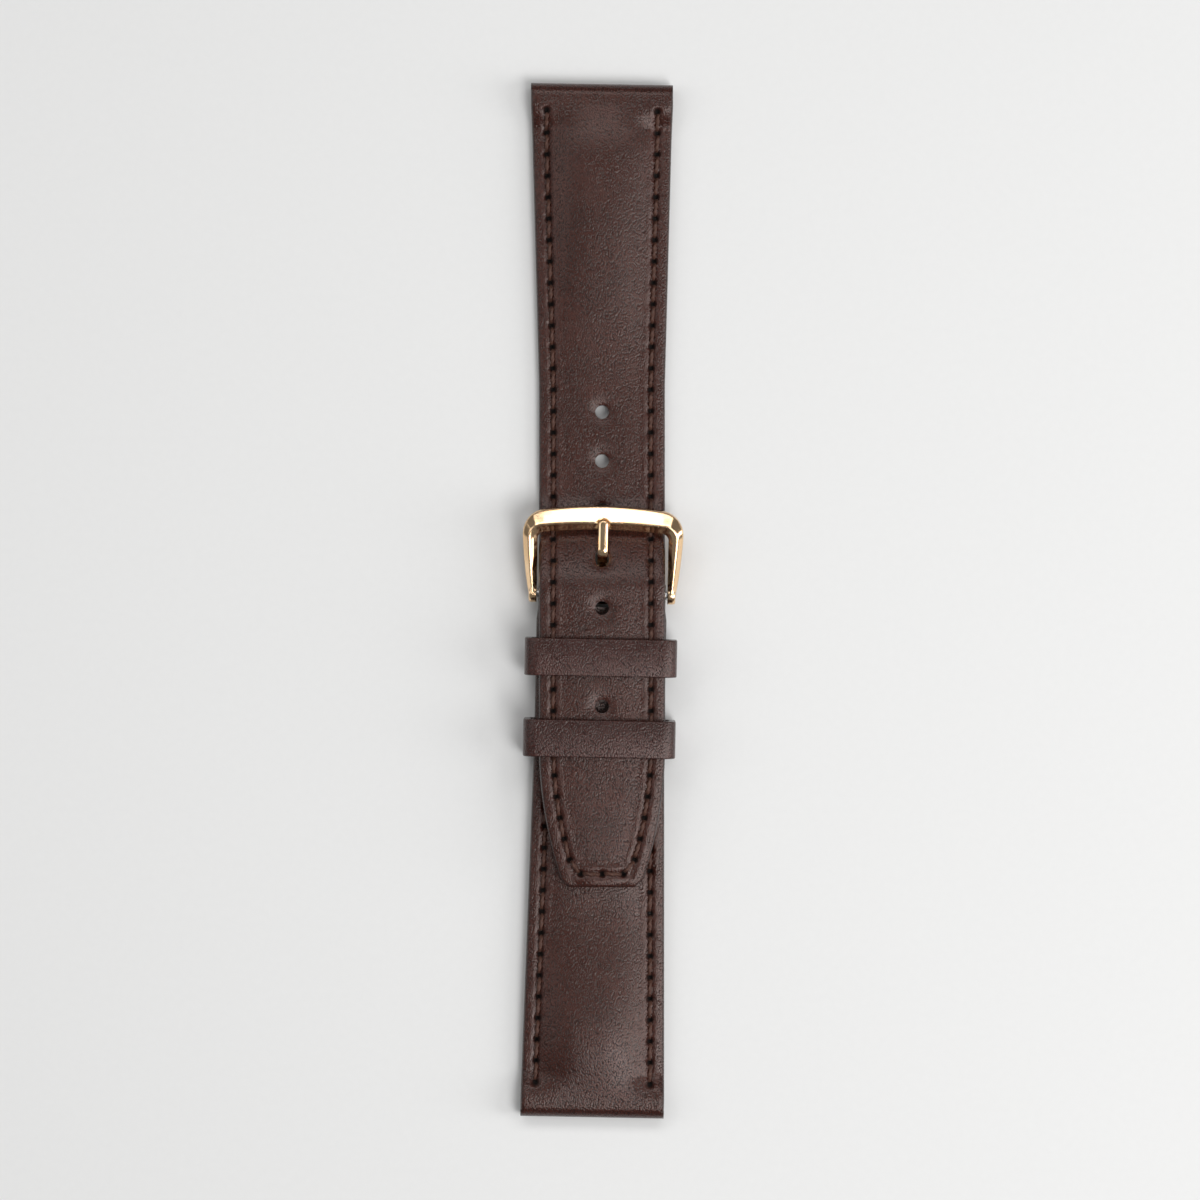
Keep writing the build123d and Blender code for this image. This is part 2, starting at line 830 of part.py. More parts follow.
# The disc at the leg's end that the eye is drilled in
with BuildPart() as frame_eye:
    with Locations(Plane(origin=bar_point + across * half_inner, z_dir=across)):
        Cylinder(eye_radius, leg_base - half_inner, align=stand)
    fillet(frame_eye.faces().sort_by(Axis(bar_point, across))[-1].edges(), eye_edge_radius)

with BuildPart() as buckle_frame:
    loft(sections=leg_sections)
    loft(sections=[corner_section(i / corner_steps) for i in range(corner_steps + 1)])
    loft(sections=[front_section(i / front_steps) for i in range(front_steps + 1)])
    add(frame_eye.part)
    add(rod(0, frame_width, pivot_radius + running_clearance), mode=Mode.SUBTRACT)
    mirror(about=Plane(origin=bar_point, z_dir=across))
    with BuildSketch(deck(frame_rise, notch_floor)):
        with Locations((0, notch_reach * lengthen)):
            Circle(notch_radius)
    extrude(amount=frame_thickness, mode=Mode.SUBTRACT)

# Tongue: an eye round the barrel and a bent shank up through the used hole
with BuildPart() as buckle_tongue:
    with BuildLine(side(0)):
        path = FilletPolyline(
            (bar_hole_radius + tongue_eye_wall / 2, 0),
            (tongue_low_reach, tongue_low_height),
            (tongue_high_reach, tongue_high_height),
            (tongue_tip_reach, tongue_tip_height),
            radius=tongue_bend_radius,
        )
    with BuildSketch(Plane(origin=path @ 0, x_dir=across, z_dir=path % 0)):
        RectangleRounded(tongue_width, tongue_thickness, tongue_edge_radius)
    sweep(path=path)
    with BuildSketch(Plane(origin=bar_point - up * reach_limit / 2, x_dir=across, z_dir=up)):
        SlotOverall(2 * tongue_tip_reach, tongue_width, rotation=90)
    extrude(amount=reach_limit, mode=Mode.INTERSECT)
    with BuildSketch(side(0)):
        Circle(bar_hole_radius + tongue_eye_wall)
    extrude(amount=tongue_width / 2, both=True)
    with BuildSketch(side(0)):
        Circle(bar_hole_radius)
    extrude(amount=tongue_width, both=True, mode=Mode.SUBTRACT)

long_top_leather.part.label = "long_top_leather"
export_step(long_top_leather.part, "parts/long_top_leather.step")

long_filler.part.label = "long_filler"
export_step(long_filler.part, "parts/long_filler.step")

long_lining.part.label = "long_lining"
export_step(long_lining.part, "parts/long_lining.step")

long_seam_thread.part.label = "long_seam_thread"
export_step(long_seam_thread.part, "parts/long_seam_thread.step")

long_bobbin_thread.part.label = "long_bobbin_thread"
export_step(long_bobbin_thread.part, "parts/long_bobbin_thread.step")

short_top_leather.part.label = "short_top_leather"
export_step(short_top_leather.part, "parts/short_top_leather.step")

short_filler.part.label = "short_filler"
export_step(short_filler.part, "parts/short_filler.step")

short_lining.part.label = "short_lining"
export_step(short_lining.part, "parts/short_lining.step")

short_seam_thread_left.part.label = "short_seam_thread_left"
export_step(short_seam_thread_left.part, "parts/short_seam_thread_left.step")

short_seam_thread_right.part.label = "short_seam_thread_right"
export_step(short_seam_thread_right.part, "parts/short_seam_thread_right.step")

short_bobbin_thread_left.part.label = "short_bobbin_thread_left"
export_step(short_bobbin_thread_left.part, "parts/short_bobbin_thread_left.step")

short_bobbin_thread_right.part.label = "short_bobbin_thread_right"
export_step(short_bobbin_thread_right.part, "parts/short_bobbin_thread_right.step")

fixed_keeper.part.label = "fixed_keeper"
export_step(fixed_keeper.part, "parts/fixed_keeper.step")

free_keeper.part.label = "free_keeper"
export_step(free_keeper.part, "parts/free_keeper.step")

buckle_frame.part.label = "buckle_frame"
export_step(buckle_frame.part, "parts/buckle_frame.step")

buckle_tongue.part.label = "buckle_tongue"
export_step(buckle_tongue.part, "parts/buckle_tongue.step")

spring_bar_barrel.part.label = "spring_bar_barrel"
export_step(spring_bar_barrel.part, "parts/spring_bar_barrel.step")

spring_bar_spring.part.label = "spring_bar_spring"
export_step(spring_bar_spring.part, "parts/spring_bar_spring.step")

spring_bar_tip_left.part.label = "spring_bar_tip_left"
export_step(spring_bar_tip_left.part, "parts/spring_bar_tip_left.step")

spring_bar_tip_right.part.label = "spring_bar_tip_right"
export_step(spring_bar_tip_right.part, "parts/spring_bar_tip_right.step")
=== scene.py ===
# %% [markdown]
# A two-piece leather watch strap, buckled and lying on its lining, seen from above.
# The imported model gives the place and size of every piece. The metal pieces are shown as they
# are packed. The leather and the thread are made here, because a stitched strap is crowned,
# puckered and grained, which a plain solid can't show.

from bisect import bisect_right
from math import atan, cos, exp, pi, radians, sin, sqrt, tan

import bmesh
import bpy
from mathutils import Matrix, Vector
from mathutils.kdtree import KDTree


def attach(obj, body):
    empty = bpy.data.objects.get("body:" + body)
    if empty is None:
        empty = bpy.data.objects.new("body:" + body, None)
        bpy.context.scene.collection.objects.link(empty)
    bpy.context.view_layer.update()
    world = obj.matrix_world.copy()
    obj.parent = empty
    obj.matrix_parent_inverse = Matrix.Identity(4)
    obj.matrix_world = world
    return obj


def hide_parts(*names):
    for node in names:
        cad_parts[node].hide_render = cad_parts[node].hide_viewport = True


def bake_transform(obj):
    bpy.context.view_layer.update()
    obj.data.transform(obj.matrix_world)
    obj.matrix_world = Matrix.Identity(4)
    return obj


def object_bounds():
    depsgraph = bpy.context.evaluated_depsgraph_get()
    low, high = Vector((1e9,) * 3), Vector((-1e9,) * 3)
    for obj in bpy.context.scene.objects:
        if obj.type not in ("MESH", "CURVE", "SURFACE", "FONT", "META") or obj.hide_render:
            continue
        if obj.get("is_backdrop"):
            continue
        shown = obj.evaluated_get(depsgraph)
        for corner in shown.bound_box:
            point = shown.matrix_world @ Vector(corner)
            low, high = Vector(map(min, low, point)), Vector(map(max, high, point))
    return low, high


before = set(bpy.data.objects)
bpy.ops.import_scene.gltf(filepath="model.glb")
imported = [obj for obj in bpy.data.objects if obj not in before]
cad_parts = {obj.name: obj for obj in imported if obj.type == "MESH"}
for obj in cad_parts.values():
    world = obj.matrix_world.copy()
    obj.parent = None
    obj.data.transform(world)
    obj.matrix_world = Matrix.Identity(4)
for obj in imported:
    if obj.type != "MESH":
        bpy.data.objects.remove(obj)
solid_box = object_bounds()
MM = 0.001

# %% [markdown]
# The strap is laid out in two plans. The long half lies straight along Y. The short half leans a
# little and is tilted, because it rests on the loop of the free keeper. One matrix for each half
# takes plan coordinates in millimetres, measured from the axis of the buckle's spring bar, to
# the frame in metres. Typing every place in the frame would work too, but then the lean would
# be hidden in every number.

# %% The two plans
LUG_LOOP = 1.7
BAR_LOOP = 1.45
SHORT_LUG = 72.1
KEEPER_REACH = 23.0
KEEPER_LIFT = 1.1
LEAN = radians(1.1)
TILT = atan(KEEPER_LIFT / (SHORT_LUG - KEEPER_REACH))
BAR_Y = 0.95
BAR_Z = SHORT_LUG * sin(TILT) + LUG_LOOP - (LUG_LOOP - BAR_LOOP) * cos(TILT)
ACROSS = Vector((cos(LEAN), -sin(LEAN), 0))
ALONG = Vector((sin(LEAN) * cos(TILT), cos(LEAN) * cos(TILT), sin(TILT)))
NORMAL = ACROSS.cross(ALONG)
BAR = Vector((0, BAR_Y, BAR_Z))

long_place = Matrix.Translation((0, BAR_Y * MM, 0)) @ Matrix.Scale(MM, 4)
turn = Matrix((ACROSS, ALONG, NORMAL)).transposed().to_4x4()
short_place = Matrix.Translation(BAR * MM) @ turn @ Matrix.Scale(MM, 4)
print("bar at", [round(v, 3) for v in BAR])

# %% [markdown]
# The heights of both halves follow the same curves as the solids: flat where the strap lies on
# the table, a drape over the buckle's bar, a pad that swells towards the lug and a round loop
# at the lug end. A cubic with four control heights gives each stretch a smooth start and end.

# %% Heights along the strap
LONG_WAIST = 2.15
SHORT_WAIST = 2.6
PAD = 4.2
SEAT_GAP = 0.12
SEAT = BAR_Z + BAR_LOOP + SEAT_GAP
DRAPE_START, DRAPE_END = 0.5, 15
LONG_PAD_START, LONG_CREST, LONG_LUG = 24, 62.0, 70.2
SHORT_PAD_START, SHORT_CREST = 43, 63.9
RAMP_END = 6
SHORT_LOW = -BAR_LOOP


def cubic(y, start, finish, heights):
    t = min(max((y - start) / (finish - start), 0), 1)
    a, b, c, d = heights
    return (1 - t) ** 3 * a + 3 * (1 - t) ** 2 * t * b + 3 * (1 - t) * t * t * c + t**3 * d


def seat(y):
    return SEAT + y * tan(TILT)


def round_end(y, centre):
    """Half height of the lug loop at a reach, and 0 past its end."""
    return sqrt(max(LUG_LOOP**2 - max(y - centre, 0) ** 2, 0))


def long_low(y):
    if y > LONG_LUG:
        return LUG_LOOP - round_end(y, LONG_LUG)
    if y > DRAPE_END:
        return 0
    if y > DRAPE_START:
        third = DRAPE_START + (DRAPE_END - DRAPE_START) / 3
        return cubic(y, DRAPE_START, DRAPE_END, (seat(DRAPE_START), seat(third), 0, 0))
    return seat(y)


def long_high(y):
    if y > LONG_LUG:
        return LUG_LOOP + round_end(y, LONG_LUG)
    if y > LONG_CREST:
        return cubic(y, LONG_CREST, LONG_LUG, (PAD, PAD, 2 * LUG_LOOP, 2 * LUG_LOOP))
    if y > LONG_PAD_START:
        return cubic(y, LONG_PAD_START, LONG_CREST, (LONG_WAIST, LONG_WAIST, PAD, PAD))
    return long_low(y) + LONG_WAIST


def short_low(y):
    back = -y
    if back > SHORT_LUG:
        return SHORT_LOW + LUG_LOOP - round_end(back, SHORT_LUG)
    if y > 0:
        return -sqrt(max(BAR_LOOP**2 - y * y, 0))
    return SHORT_LOW


def short_high(y):
    back = -y
    waist, pad, lug = SHORT_LOW + SHORT_WAIST, SHORT_LOW + PAD, SHORT_LOW + 2 * LUG_LOOP
    if back > SHORT_LUG:
        return SHORT_LOW + LUG_LOOP + round_end(back, SHORT_LUG)
    if back > SHORT_CREST:
        return cubic(back, SHORT_CREST, SHORT_LUG, (pad, pad, lug, lug))
    if back > SHORT_PAD_START:
        return cubic(back, SHORT_PAD_START, SHORT_CREST, (waist, waist, pad, pad))
    if y > 0:
        return sqrt(max(BAR_LOOP**2 - y * y, 0))
    return cubic(back, 0, RAMP_END, (BAR_LOOP, BAR_LOOP, waist, waist))


print("face of the long half over bar and pad", round(long_high(0), 2), long_high(LONG_CREST))


# %% [markdown]
# The outlines are measured from the photograph: a strap that narrows from lug to buckle, and a
# tip that tapers on an arc to a short flat end with clipped corners. Each outline is a half
# width at a reach, which is all that a section across the strap needs.

# %% Half widths along the strap
TIP, TIP_HALF = -41.2, 4.6
TIP_CORNER, TIP_CORNER_HALF = -40.1, 5.8
TAPER = -21
LONG_WAIST_HALF, LONG_WAIST_END = 8.87, 29.4
LONG_SHOULDER, LONG_SHOULDER_HALF = 63.9, 9.8
LONG_LUG_START, LONG_LUG_HALF = 68.8, 10
LONG_END = 72
SHORT_END, SHORT_SHOULDER, SHORT_LUG_HALF = -73.8, -70.4, 10.1
SHORT_WAIST_END, SHORT_WAIST_HALF = -20, 9.15
LOOP_START, LOOP_END, LOOP_HALF = -2.2, 1.5, 8.95
LOOP_SHOULDER = -3.6


def between(y, stops):
    """Value at y on straight runs between (y, value) stops."""
    for (y0, v0), (y1, v1) in zip(stops, stops[1:]):
        if y <= y1:
            return v0 + (v1 - v0) * (max(y, y0) - y0) / (y1 - y0)
    return stops[-1][1]


def taper(y, start, start_half, end, end_half):
    """Half width on the arc that leaves the straight edge and reaches the tip's corner."""
    drop = start_half - end_half
    radius = (drop**2 + (end - start) ** 2) / (2 * drop)
    return start_half - radius + sqrt(radius**2 - (y - start) ** 2)


def long_half_width(y):
    if y < TIP_CORNER:
        return between(y, ((TIP, TIP_HALF), (TIP_CORNER, TIP_CORNER_HALF)))
    if y < TAPER:
        return taper(y, TAPER, LONG_WAIST_HALF, TIP_CORNER, TIP_CORNER_HALF)
    waist = ((TAPER, LONG_WAIST_HALF), (LONG_WAIST_END, LONG_WAIST_HALF))
    lug = ((LONG_LUG_START, LONG_LUG_HALF), (LONG_END, LONG_LUG_HALF))
    return between(y, waist + ((LONG_SHOULDER, LONG_SHOULDER_HALF),) + lug)


def short_half_width(y):
    lug = ((SHORT_END, SHORT_LUG_HALF), (SHORT_SHOULDER, SHORT_LUG_HALF))
    waist = ((SHORT_WAIST_END, SHORT_WAIST_HALF), (LOOP_SHOULDER, SHORT_WAIST_HALF))
    return between(y, lug + waist + ((LOOP_START, LOOP_HALF), (LOOP_END, LOOP_HALF)))


print("half widths at the lugs", long_half_width(LONG_LUG), short_half_width(-SHORT_LUG))


# %% [markdown]
# The seams run 2 mm inside the edge. On the long half one seam goes from lug to lug round the
# tip; on the short half there is one down each side. A seam is kept as a fine chain of points,
# so that the needle holes can be spaced along it evenly, as an awl wheel spaces them.

# %% Seams and needle holes
INSET = 2
PITCH = 3.0
SEAM_TIP, SEAM_TIP_HALF = -39.3, 3.95
LONG_SEAM_START = 68
SHORT_SEAM_START, SHORT_SEAM_END = -68.9, -14.9
SEAM_STEP = 0.2


def long_seam_half(y):
    waist, shoulder = LONG_WAIST_HALF - INSET, LONG_SHOULDER_HALF - INSET
    if y < TAPER:
        return taper(y, TAPER, waist, SEAM_TIP, SEAM_TIP_HALF)
    lug = ((LONG_SHOULDER, shoulder), (LONG_END, shoulder))
    return between(y, ((TAPER, waist), (LONG_WAIST_END, waist)) + lug)


def short_seam_half(y):
    slope = (SHORT_LUG_HALF - SHORT_WAIST_HALF) / (SHORT_WAIST_END - SHORT_SHOULDER)
    return SHORT_WAIST_HALF - INSET + max(SHORT_WAIST_END - y, 0) * slope


def along_chain(points, total, length):
    """Point at a length along a chain whose running lengths are in total."""
    i = min(max(bisect_right(total, length) - 1, 0), len(points) - 2)
    t = (length - total[i]) / (total[i + 1] - total[i])
    return points[i].lerp(points[i + 1], t)


def needles_on(points):
    total = [0.0]
    for a, b in zip(points, points[1:]):
        total.append(total[-1] + (b - a).length)
    count = round(total[-1] / PITCH)
    return [along_chain(points, total, total[-1] * k / count) for k in range(count + 1)]


def steps(start, finish, step):
    """Evenly spaced values from start to finish, about one step apart."""
    count = max(1, round(abs(finish - start) / step))
    return [start + (finish - start) * k / count for k in range(count + 1)]


right_side = [Vector((long_seam_half(y), y)) for y in steps(LONG_SEAM_START, SEAM_TIP, SEAM_STEP)]
tip_run = [Vector((x, SEAM_TIP)) for x in steps(SEAM_TIP_HALF, -SEAM_TIP_HALF, SEAM_STEP)]
left_side = [Vector((-p.x, p.y)) for p in reversed(right_side)]
long_line = right_side + tip_run[1:-1] + left_side
short_run = steps(SHORT_SEAM_START, SHORT_SEAM_END, SEAM_STEP)
short_lines = {
    hand: [Vector((side * short_seam_half(y), y)) for y in short_run]
    for hand, side in (("right", 1), ("left", -1))
}
long_needles = needles_on(long_line)
short_needles = {hand: needles_on(line) for hand, line in short_lines.items()}
print("stitches", len(long_needles) - 1, [len(n) - 1 for n in short_needles.values()])

# %% [markdown]
# Leather closes round a tight stitch: each needle hole is a small pit, the run between two holes
# lies in a shallow crease, and the leather swells a little on both sides. Distances to the seam
# and to the nearest needle hole come from a search tree, so any point of the surface can ask
# how far it is pulled down. The same distances later give the pits their painted shade. A punched
# hole draws the leather down round its rim in the same way.

# %% Pull of the seams and holes
TONGUE_HOLE = 4.93
HOLE_PITCH = 6.91
HOLE_RADIUS = 0.95
CREASE_DEPTH, CREASE_WIDTH = 0.12, 0.3
SWELL_HEIGHT, SWELL_AWAY, SWELL_WIDTH = 0.09, 0.8, 0.42
PIT_DEPTH, PIT_WIDTH = 0.7, 0.36
DIMPLE_DEPTH, DIMPLE_WIDTH = 0.1, 0.8
SINK_DEPTH, SINK_WIDTH = 0.19, 0.9
RIM_DEPTH, RIM_WIDTH = 0.16, 0.2
HOLE_REACHES = [TONGUE_HOLE + HOLE_PITCH * k for k in range(-3, 4)]


def tree(points):
    found = KDTree(len(points))
    for i, p in enumerate(points):
        found.insert((p.x, p.y, 0), i)
    found.balance()
    return found


def distance(found, x, y):
    return found.find((x, y, 0))[2]


long_trees = (tree(long_line), tree(long_needles))
short_trees = (
    tree(short_lines["right"] + short_lines["left"]),
    tree(short_needles["right"] + short_needles["left"]),
)


def hump(d, width, power=2):
    """1 at no distance, falling smoothly to nothing a little past the width."""
    return exp(-((d / width) ** power))


def pucker(trees, x, y):
    """Height of the stitched surface over a plain one."""
    seam, hole = distance(trees[0], x, y), distance(trees[1], x, y)
    crease = -CREASE_DEPTH * hump(seam, CREASE_WIDTH)
    swell = SWELL_HEIGHT * hump(seam - SWELL_AWAY, SWELL_WIDTH)
    pit = -PIT_DEPTH * hump(hole, PIT_WIDTH, 3) - DIMPLE_DEPTH * hump(hole, DIMPLE_WIDTH)
    return crease + swell + pit


def punched(x, y):
    """How far the face sinks towards the rim of an adjusting hole."""
    gap = max(min(sqrt(x * x + (y - at) ** 2) for at in HOLE_REACHES) - HOLE_RADIUS, 0)
    return -SINK_DEPTH * hump(gap, SINK_WIDTH) - RIM_DEPTH * hump(gap, RIM_WIDTH)


print("holes from", round(HOLE_REACHES[0], 2), "to", round(HOLE_REACHES[-1], 2), "mm")

# %% [markdown]
# A strap half is one closed skin: a section across the strap, carried along it. A grid is the
# simplest start. Its columns become the points round the section, its rows the stations along
# the strap, and moving its vertices to their places rolls it into a tube, whose first and last
# columns are merged and whose ends are filled. A subdivided box would waste points on the flat
# underside, where nothing happens.


# %% Roll a grid into a skin
def new_piece(name, bm):
    """Turns a bmesh into an object in the scene."""
    mesh = bpy.data.meshes.new(name)
    bm.to_mesh(mesh)
    bm.free()
    piece = bpy.data.objects.new(name, mesh)
    bpy.context.scene.collection.objects.link(piece)
    return piece


def close(bm):
    """Joins what meets, fills the open ends and turns all the faces outwards."""
    bmesh.ops.remove_doubles(bm, verts=bm.verts, dist=1e-7)
    rims = [e for e in bm.edges if e.is_boundary]
    bmesh.ops.holes_fill(bm, edges=rims, sides=0)
    bmesh.ops.recalc_face_normals(bm, faces=bm.faces)


def rolled(name, columns, rows, point):
    """Closed tube: point(i, j) is the place of column i, of a full round, at row j."""
    bm = bmesh.new()
    bmesh.ops.create_grid(bm, x_segments=columns, y_segments=rows, size=0.5)
    for v in bm.verts:
        i = round((v.co.x + 0.5) * columns)
        j = round((v.co.y + 0.5) * rows)
        v.co = point(i % columns, j)
    close(bm)
    return new_piece(name, bm)


# %% [markdown]
# The face leather is crowned: thick in the middle, thin along the seam, with a rounded edge.
# The section is worked out at each station from the half width, the underside and the face
# height. Towards the lug the crown flattens out, because there the leather folds round the bar.

# %% Section of the face leather
FACE_STEPS = 92
EDGE_STEPS = 6
BASE_STEPS = 8
COLUMNS = FACE_STEPS + BASE_STEPS + 2 * EDGE_STEPS
FLANGE, FLANGE_GROWTH = 1.78, 0.16
CROWN_INSET = 1.7
CROWN_POWER = 2.6
EDGE_RADIUS = 0.55
EDGE_LEAN = 0.12
LUG_EDGE_SHARE = 0.35
FOLD_GAP, FOLD_RUN = 6.5, 5.0
SEAM_END_GAP = 1.8


def edge_drop(d, radius):
    """How far a rounded edge falls at a distance in from the edge."""
    if d >= radius:
        return 0
    return radius - sqrt(max(radius**2 - (radius - d) ** 2, 0))


def face_height(x, y, half, low, high, lug_gap, trees, end_gap):
    """Height of the face at a point, crowned, puckered and rounded at the edges."""
    thick = high - low
    fold = min(max((FOLD_GAP - lug_gap) / FOLD_RUN, 0), 1)
    fold = fold * fold * (3 - 2 * fold)
    flange = min(thick, FLANGE + FLANGE_GROWTH * (thick - LONG_WAIST))
    flange = flange + (thick - flange) * fold
    q = min(abs(x) / max(half - CROWN_INSET, 0.1), 1)
    crown = (1 - q**CROWN_POWER) * (1 - fold) + fold
    z = low + flange + (thick - flange) * crown
    reach = min(half - abs(x), end_gap)
    share = 1 if lug_gap > 1 else LUG_EDGE_SHARE
    z -= edge_drop(max(reach, 0), min(EDGE_RADIUS, thick / 2)) * share
    if trees is long_trees:
        z += punched(x, y)
    return z + pucker(trees, x, y) * min(1, max(lug_gap - SEAM_END_GAP, 0))


def leather_skin(name, place, stations, half_at, low_at, high_at, lug_at, trees, end_at, base_at):
    """Face leather of one half. base_at gives its underside at a station."""

    def point(i, j):
        y = stations[j]
        half, low, high = half_at(y), low_at(y), high_at(y)
        gap, end_gap, base = lug_at(y), end_at(y), base_at(y)
        if i <= FACE_STEPS:
            x = -half + 2 * half * i / FACE_STEPS
            z = face_height(x, y, half, low, high, gap, trees, end_gap)
            return place @ Vector((x, y, max(z, base)))
        i -= FACE_STEPS
        hand = 1
        if i > EDGE_STEPS + BASE_STEPS:
            i = 2 * EDGE_STEPS + BASE_STEPS - i
            hand = -1
        rim = face_height(hand * half, y, half, low, high, gap, trees, end_gap)
        if i <= EDGE_STEPS:
            t = i / EDGE_STEPS
            x = hand * (half - EDGE_LEAN * t * t)
            return place @ Vector((x, y, rim + (base - rim) * t))
        t = (i - EDGE_STEPS) / BASE_STEPS
        x = half - EDGE_LEAN
        return place @ Vector((x - 2 * x * t, y, base))

    return rolled(name, COLUMNS, len(stations) - 1, point)


# %% [markdown]
# The face leather turns back under the strap at the lug, and under the short half at the buckle.
# Between the folds it lies on the lining. Its underside steps up by the lining's thickness there,
# so two stations stand close together at each fold. The rest are evenly spaced, and closer round
# the loops, where the surface turns away.

# %% Stations and undersides of the two halves
LINING = 0.7
LUG_FOLD = 9.0
BUCKLE_FOLD = -13
STATION = 0.21
TIP_STATION, TIP_RUN = 0.06, 0.6
HAIR = 0.01


def long_base(y):
    return long_low(y) + (LINING if y < LONG_LUG - LUG_FOLD else 0)


def short_base(y):
    lined = -SHORT_LUG + LUG_FOLD < y < BUCKLE_FOLD
    return short_low(y) + (LINING if lined else 0)


def round_stations(radius, count):
    """Stations round a loop, closer together towards its end."""
    return [radius * sin(pi / 2 * k / count) for k in range(1, count + 1)]


lug_round = round_stations(LUG_LOOP, 14)
long_fold, short_fold = LONG_LUG - LUG_FOLD, -SHORT_LUG + LUG_FOLD
tip_end = TIP + TIP_RUN
long_stations = steps(TIP, tip_end, TIP_STATION)[:-1]
long_stations += steps(tip_end, long_fold - HAIR, STATION)
long_stations += steps(long_fold + HAIR, LONG_LUG, STATION) + [LONG_LUG + y for y in lug_round]
short_stations = [-SHORT_LUG - y for y in reversed(lug_round)]
short_stations += steps(-SHORT_LUG, short_fold - HAIR, STATION)
short_stations += steps(short_fold + HAIR, BUCKLE_FOLD - HAIR, STATION)
short_stations += steps(BUCKLE_FOLD + HAIR, 0, 0.3) + round_stations(BAR_LOOP, 8)
print("stations", len(long_stations), len(short_stations))

# %% [markdown]
# Holes are cut with the Boolean modifier. Seven punched holes go through the long half, the one
# that the tongue uses drawn out to a slot, and each end has a bore for its bar. The cutters are
# cones with equal radii, made in place and deleted once the cut is applied. They are turned by
# two degrees, so that no corner of a cutter lies in the plane of a row of vertices.

# %% Cut holes
LUG_BORE = 1.0
BAR_BORE = 0.8
SLOT_STRETCH, SLOT_SHIFT = 0.6, 0.12
THROUGH_HEIGHT, THROUGH_WIDTH = 20, 30


def drill(bm, place, centre, radius, length, axis="Z", stretch=0.0):
    """Adds one round cutter, in plan millimetres, to a bmesh."""
    turned = Matrix.Rotation(pi / 2, 4, "Y") if axis == "X" else Matrix.Identity(4)
    made = bmesh.ops.create_cone(
        bm, cap_ends=True, segments=48, radius1=radius, radius2=radius, depth=length,
        matrix=Matrix.Rotation(radians(2), 4, "Z"),
    )
    for v in made["verts"]:
        v.co.y += stretch / 2 if v.co.y > 0 else -stretch / 2
    bmesh.ops.transform(bm, matrix=Matrix.Translation(centre) @ turned, verts=made["verts"])
    bmesh.ops.transform(bm, matrix=place, verts=made["verts"])


def cut(piece, bm):
    """Takes the cutters from the piece for good."""
    bmesh.ops.recalc_face_normals(bm, faces=bm.faces)
    cutter = new_piece("cutters", bm)
    knife = piece.modifiers.new("holes", "BOOLEAN")
    knife.operation = "DIFFERENCE"
    knife.solver = "MANIFOLD"
    knife.object = cutter
    bpy.context.view_layer.update()
    state = bpy.context.evaluated_depsgraph_get()
    done = bpy.data.meshes.new_from_object(piece.evaluated_get(state))
    spent = (piece.data, cutter.data)
    piece.modifiers.clear()
    piece.data = done
    done.name = piece.name
    bpy.data.objects.remove(cutter)
    for mesh in spent:
        bpy.data.meshes.remove(mesh)
    top = max(v.co.z for v in done.vertices) / MM
    print(piece.name, "cut,", len(done.vertices), "vertices, top at", round(top, 2), "mm")


def punch(piece):
    bm = bmesh.new()
    for y in HOLE_REACHES:
        used = y == TONGUE_HOLE
        centre = (0, y + (SLOT_SHIFT if used else 0), 2)
        stretch = SLOT_STRETCH if used else 0
        drill(bm, long_place, centre, HOLE_RADIUS, THROUGH_HEIGHT, stretch=stretch)
    drill(bm, long_place, (0, LONG_LUG, LUG_LOOP), LUG_BORE, THROUGH_WIDTH, axis="X")
    cut(piece, bm)


# %% [markdown]
# A finish needs to know where the pits, the edges and the holes are. Three numbers are stored
# on each vertex: pit, near 1 in a needle hole, where it paints shade; edge, near 1 on the cut
# edge, where it is edge paint, and on the walls of the punched holes, where it paints shade; and
# a third that paints a highlight round the hole rims and on the swells beside the seams.
# Attributes stay with the surface when the strap bends, which a pattern on coordinates alone
# would not.


# %% Store pits, edges and rubs
PIT_SPREAD = 0.43
EDGE_SPREAD = 0.28
RIM_START, RIM_SPREAD = 0.98, 0.06
# Where the painted highlight lies round the hole rims and beside the seams.
RIM_SHEEN, RIM_SHEEN_WIDTH = 1.0, 0.18
SEAM_SHEEN, SEAM_SHEEN_WIDTH, SEAM_SHEEN_SHARE = 0.7, 0.4, 0.3
FAR = 9


def store(mesh, name, values):
    mesh.attributes.new(name, "FLOAT", "POINT").data.foreach_set("value", values)


def mark(piece, place, trees, half_at, holes=()):
    mesh = piece.data
    back = place.inverted()
    pit_shades, edges, sheen_marks = [], [], []
    for v in mesh.vertices:
        p = back @ v.co
        seam, hole = distance(trees[0], p.x, p.y), distance(trees[1], p.x, p.y)
        # Painted shade: the colour is drawn nearly black in and round each needle hole.
        pit_shades.append(min(1, 1.4 * hump(hole, PIT_SPREAD, 4)))
        side = half_at(p.y) - abs(p.x)
        near = min([sqrt(p.x**2 + (p.y - y) ** 2) for y in holes], default=FAR)
        # The rim term paints shade on the walls of the punched holes; the side term is the edge
        # paint.
        rim = 1 - max(near - RIM_START, 0) / RIM_SPREAD
        edges.append(min(1, max(0, 1 - side / EDGE_SPREAD, rim)))
        # Painted highlight: lighter colour on the swells beside the seams and round the hole rims.
        seam_sheen = SEAM_SHEEN_SHARE * hump(seam - SEAM_SHEEN, SEAM_SHEEN_WIDTH)
        sheen_marks.append(max(hump(near - RIM_SHEEN, RIM_SHEEN_WIDTH), seam_sheen))
    for name, values in (("pit", pit_shades), ("edge", edges), ("painted_sheen", sheen_marks)):
        store(mesh, name, values)
    mesh.shade_smooth()
    mesh.set_sharp_from_angle(angle=radians(50))
    print(piece.name, len(mesh.polygons), "faces")


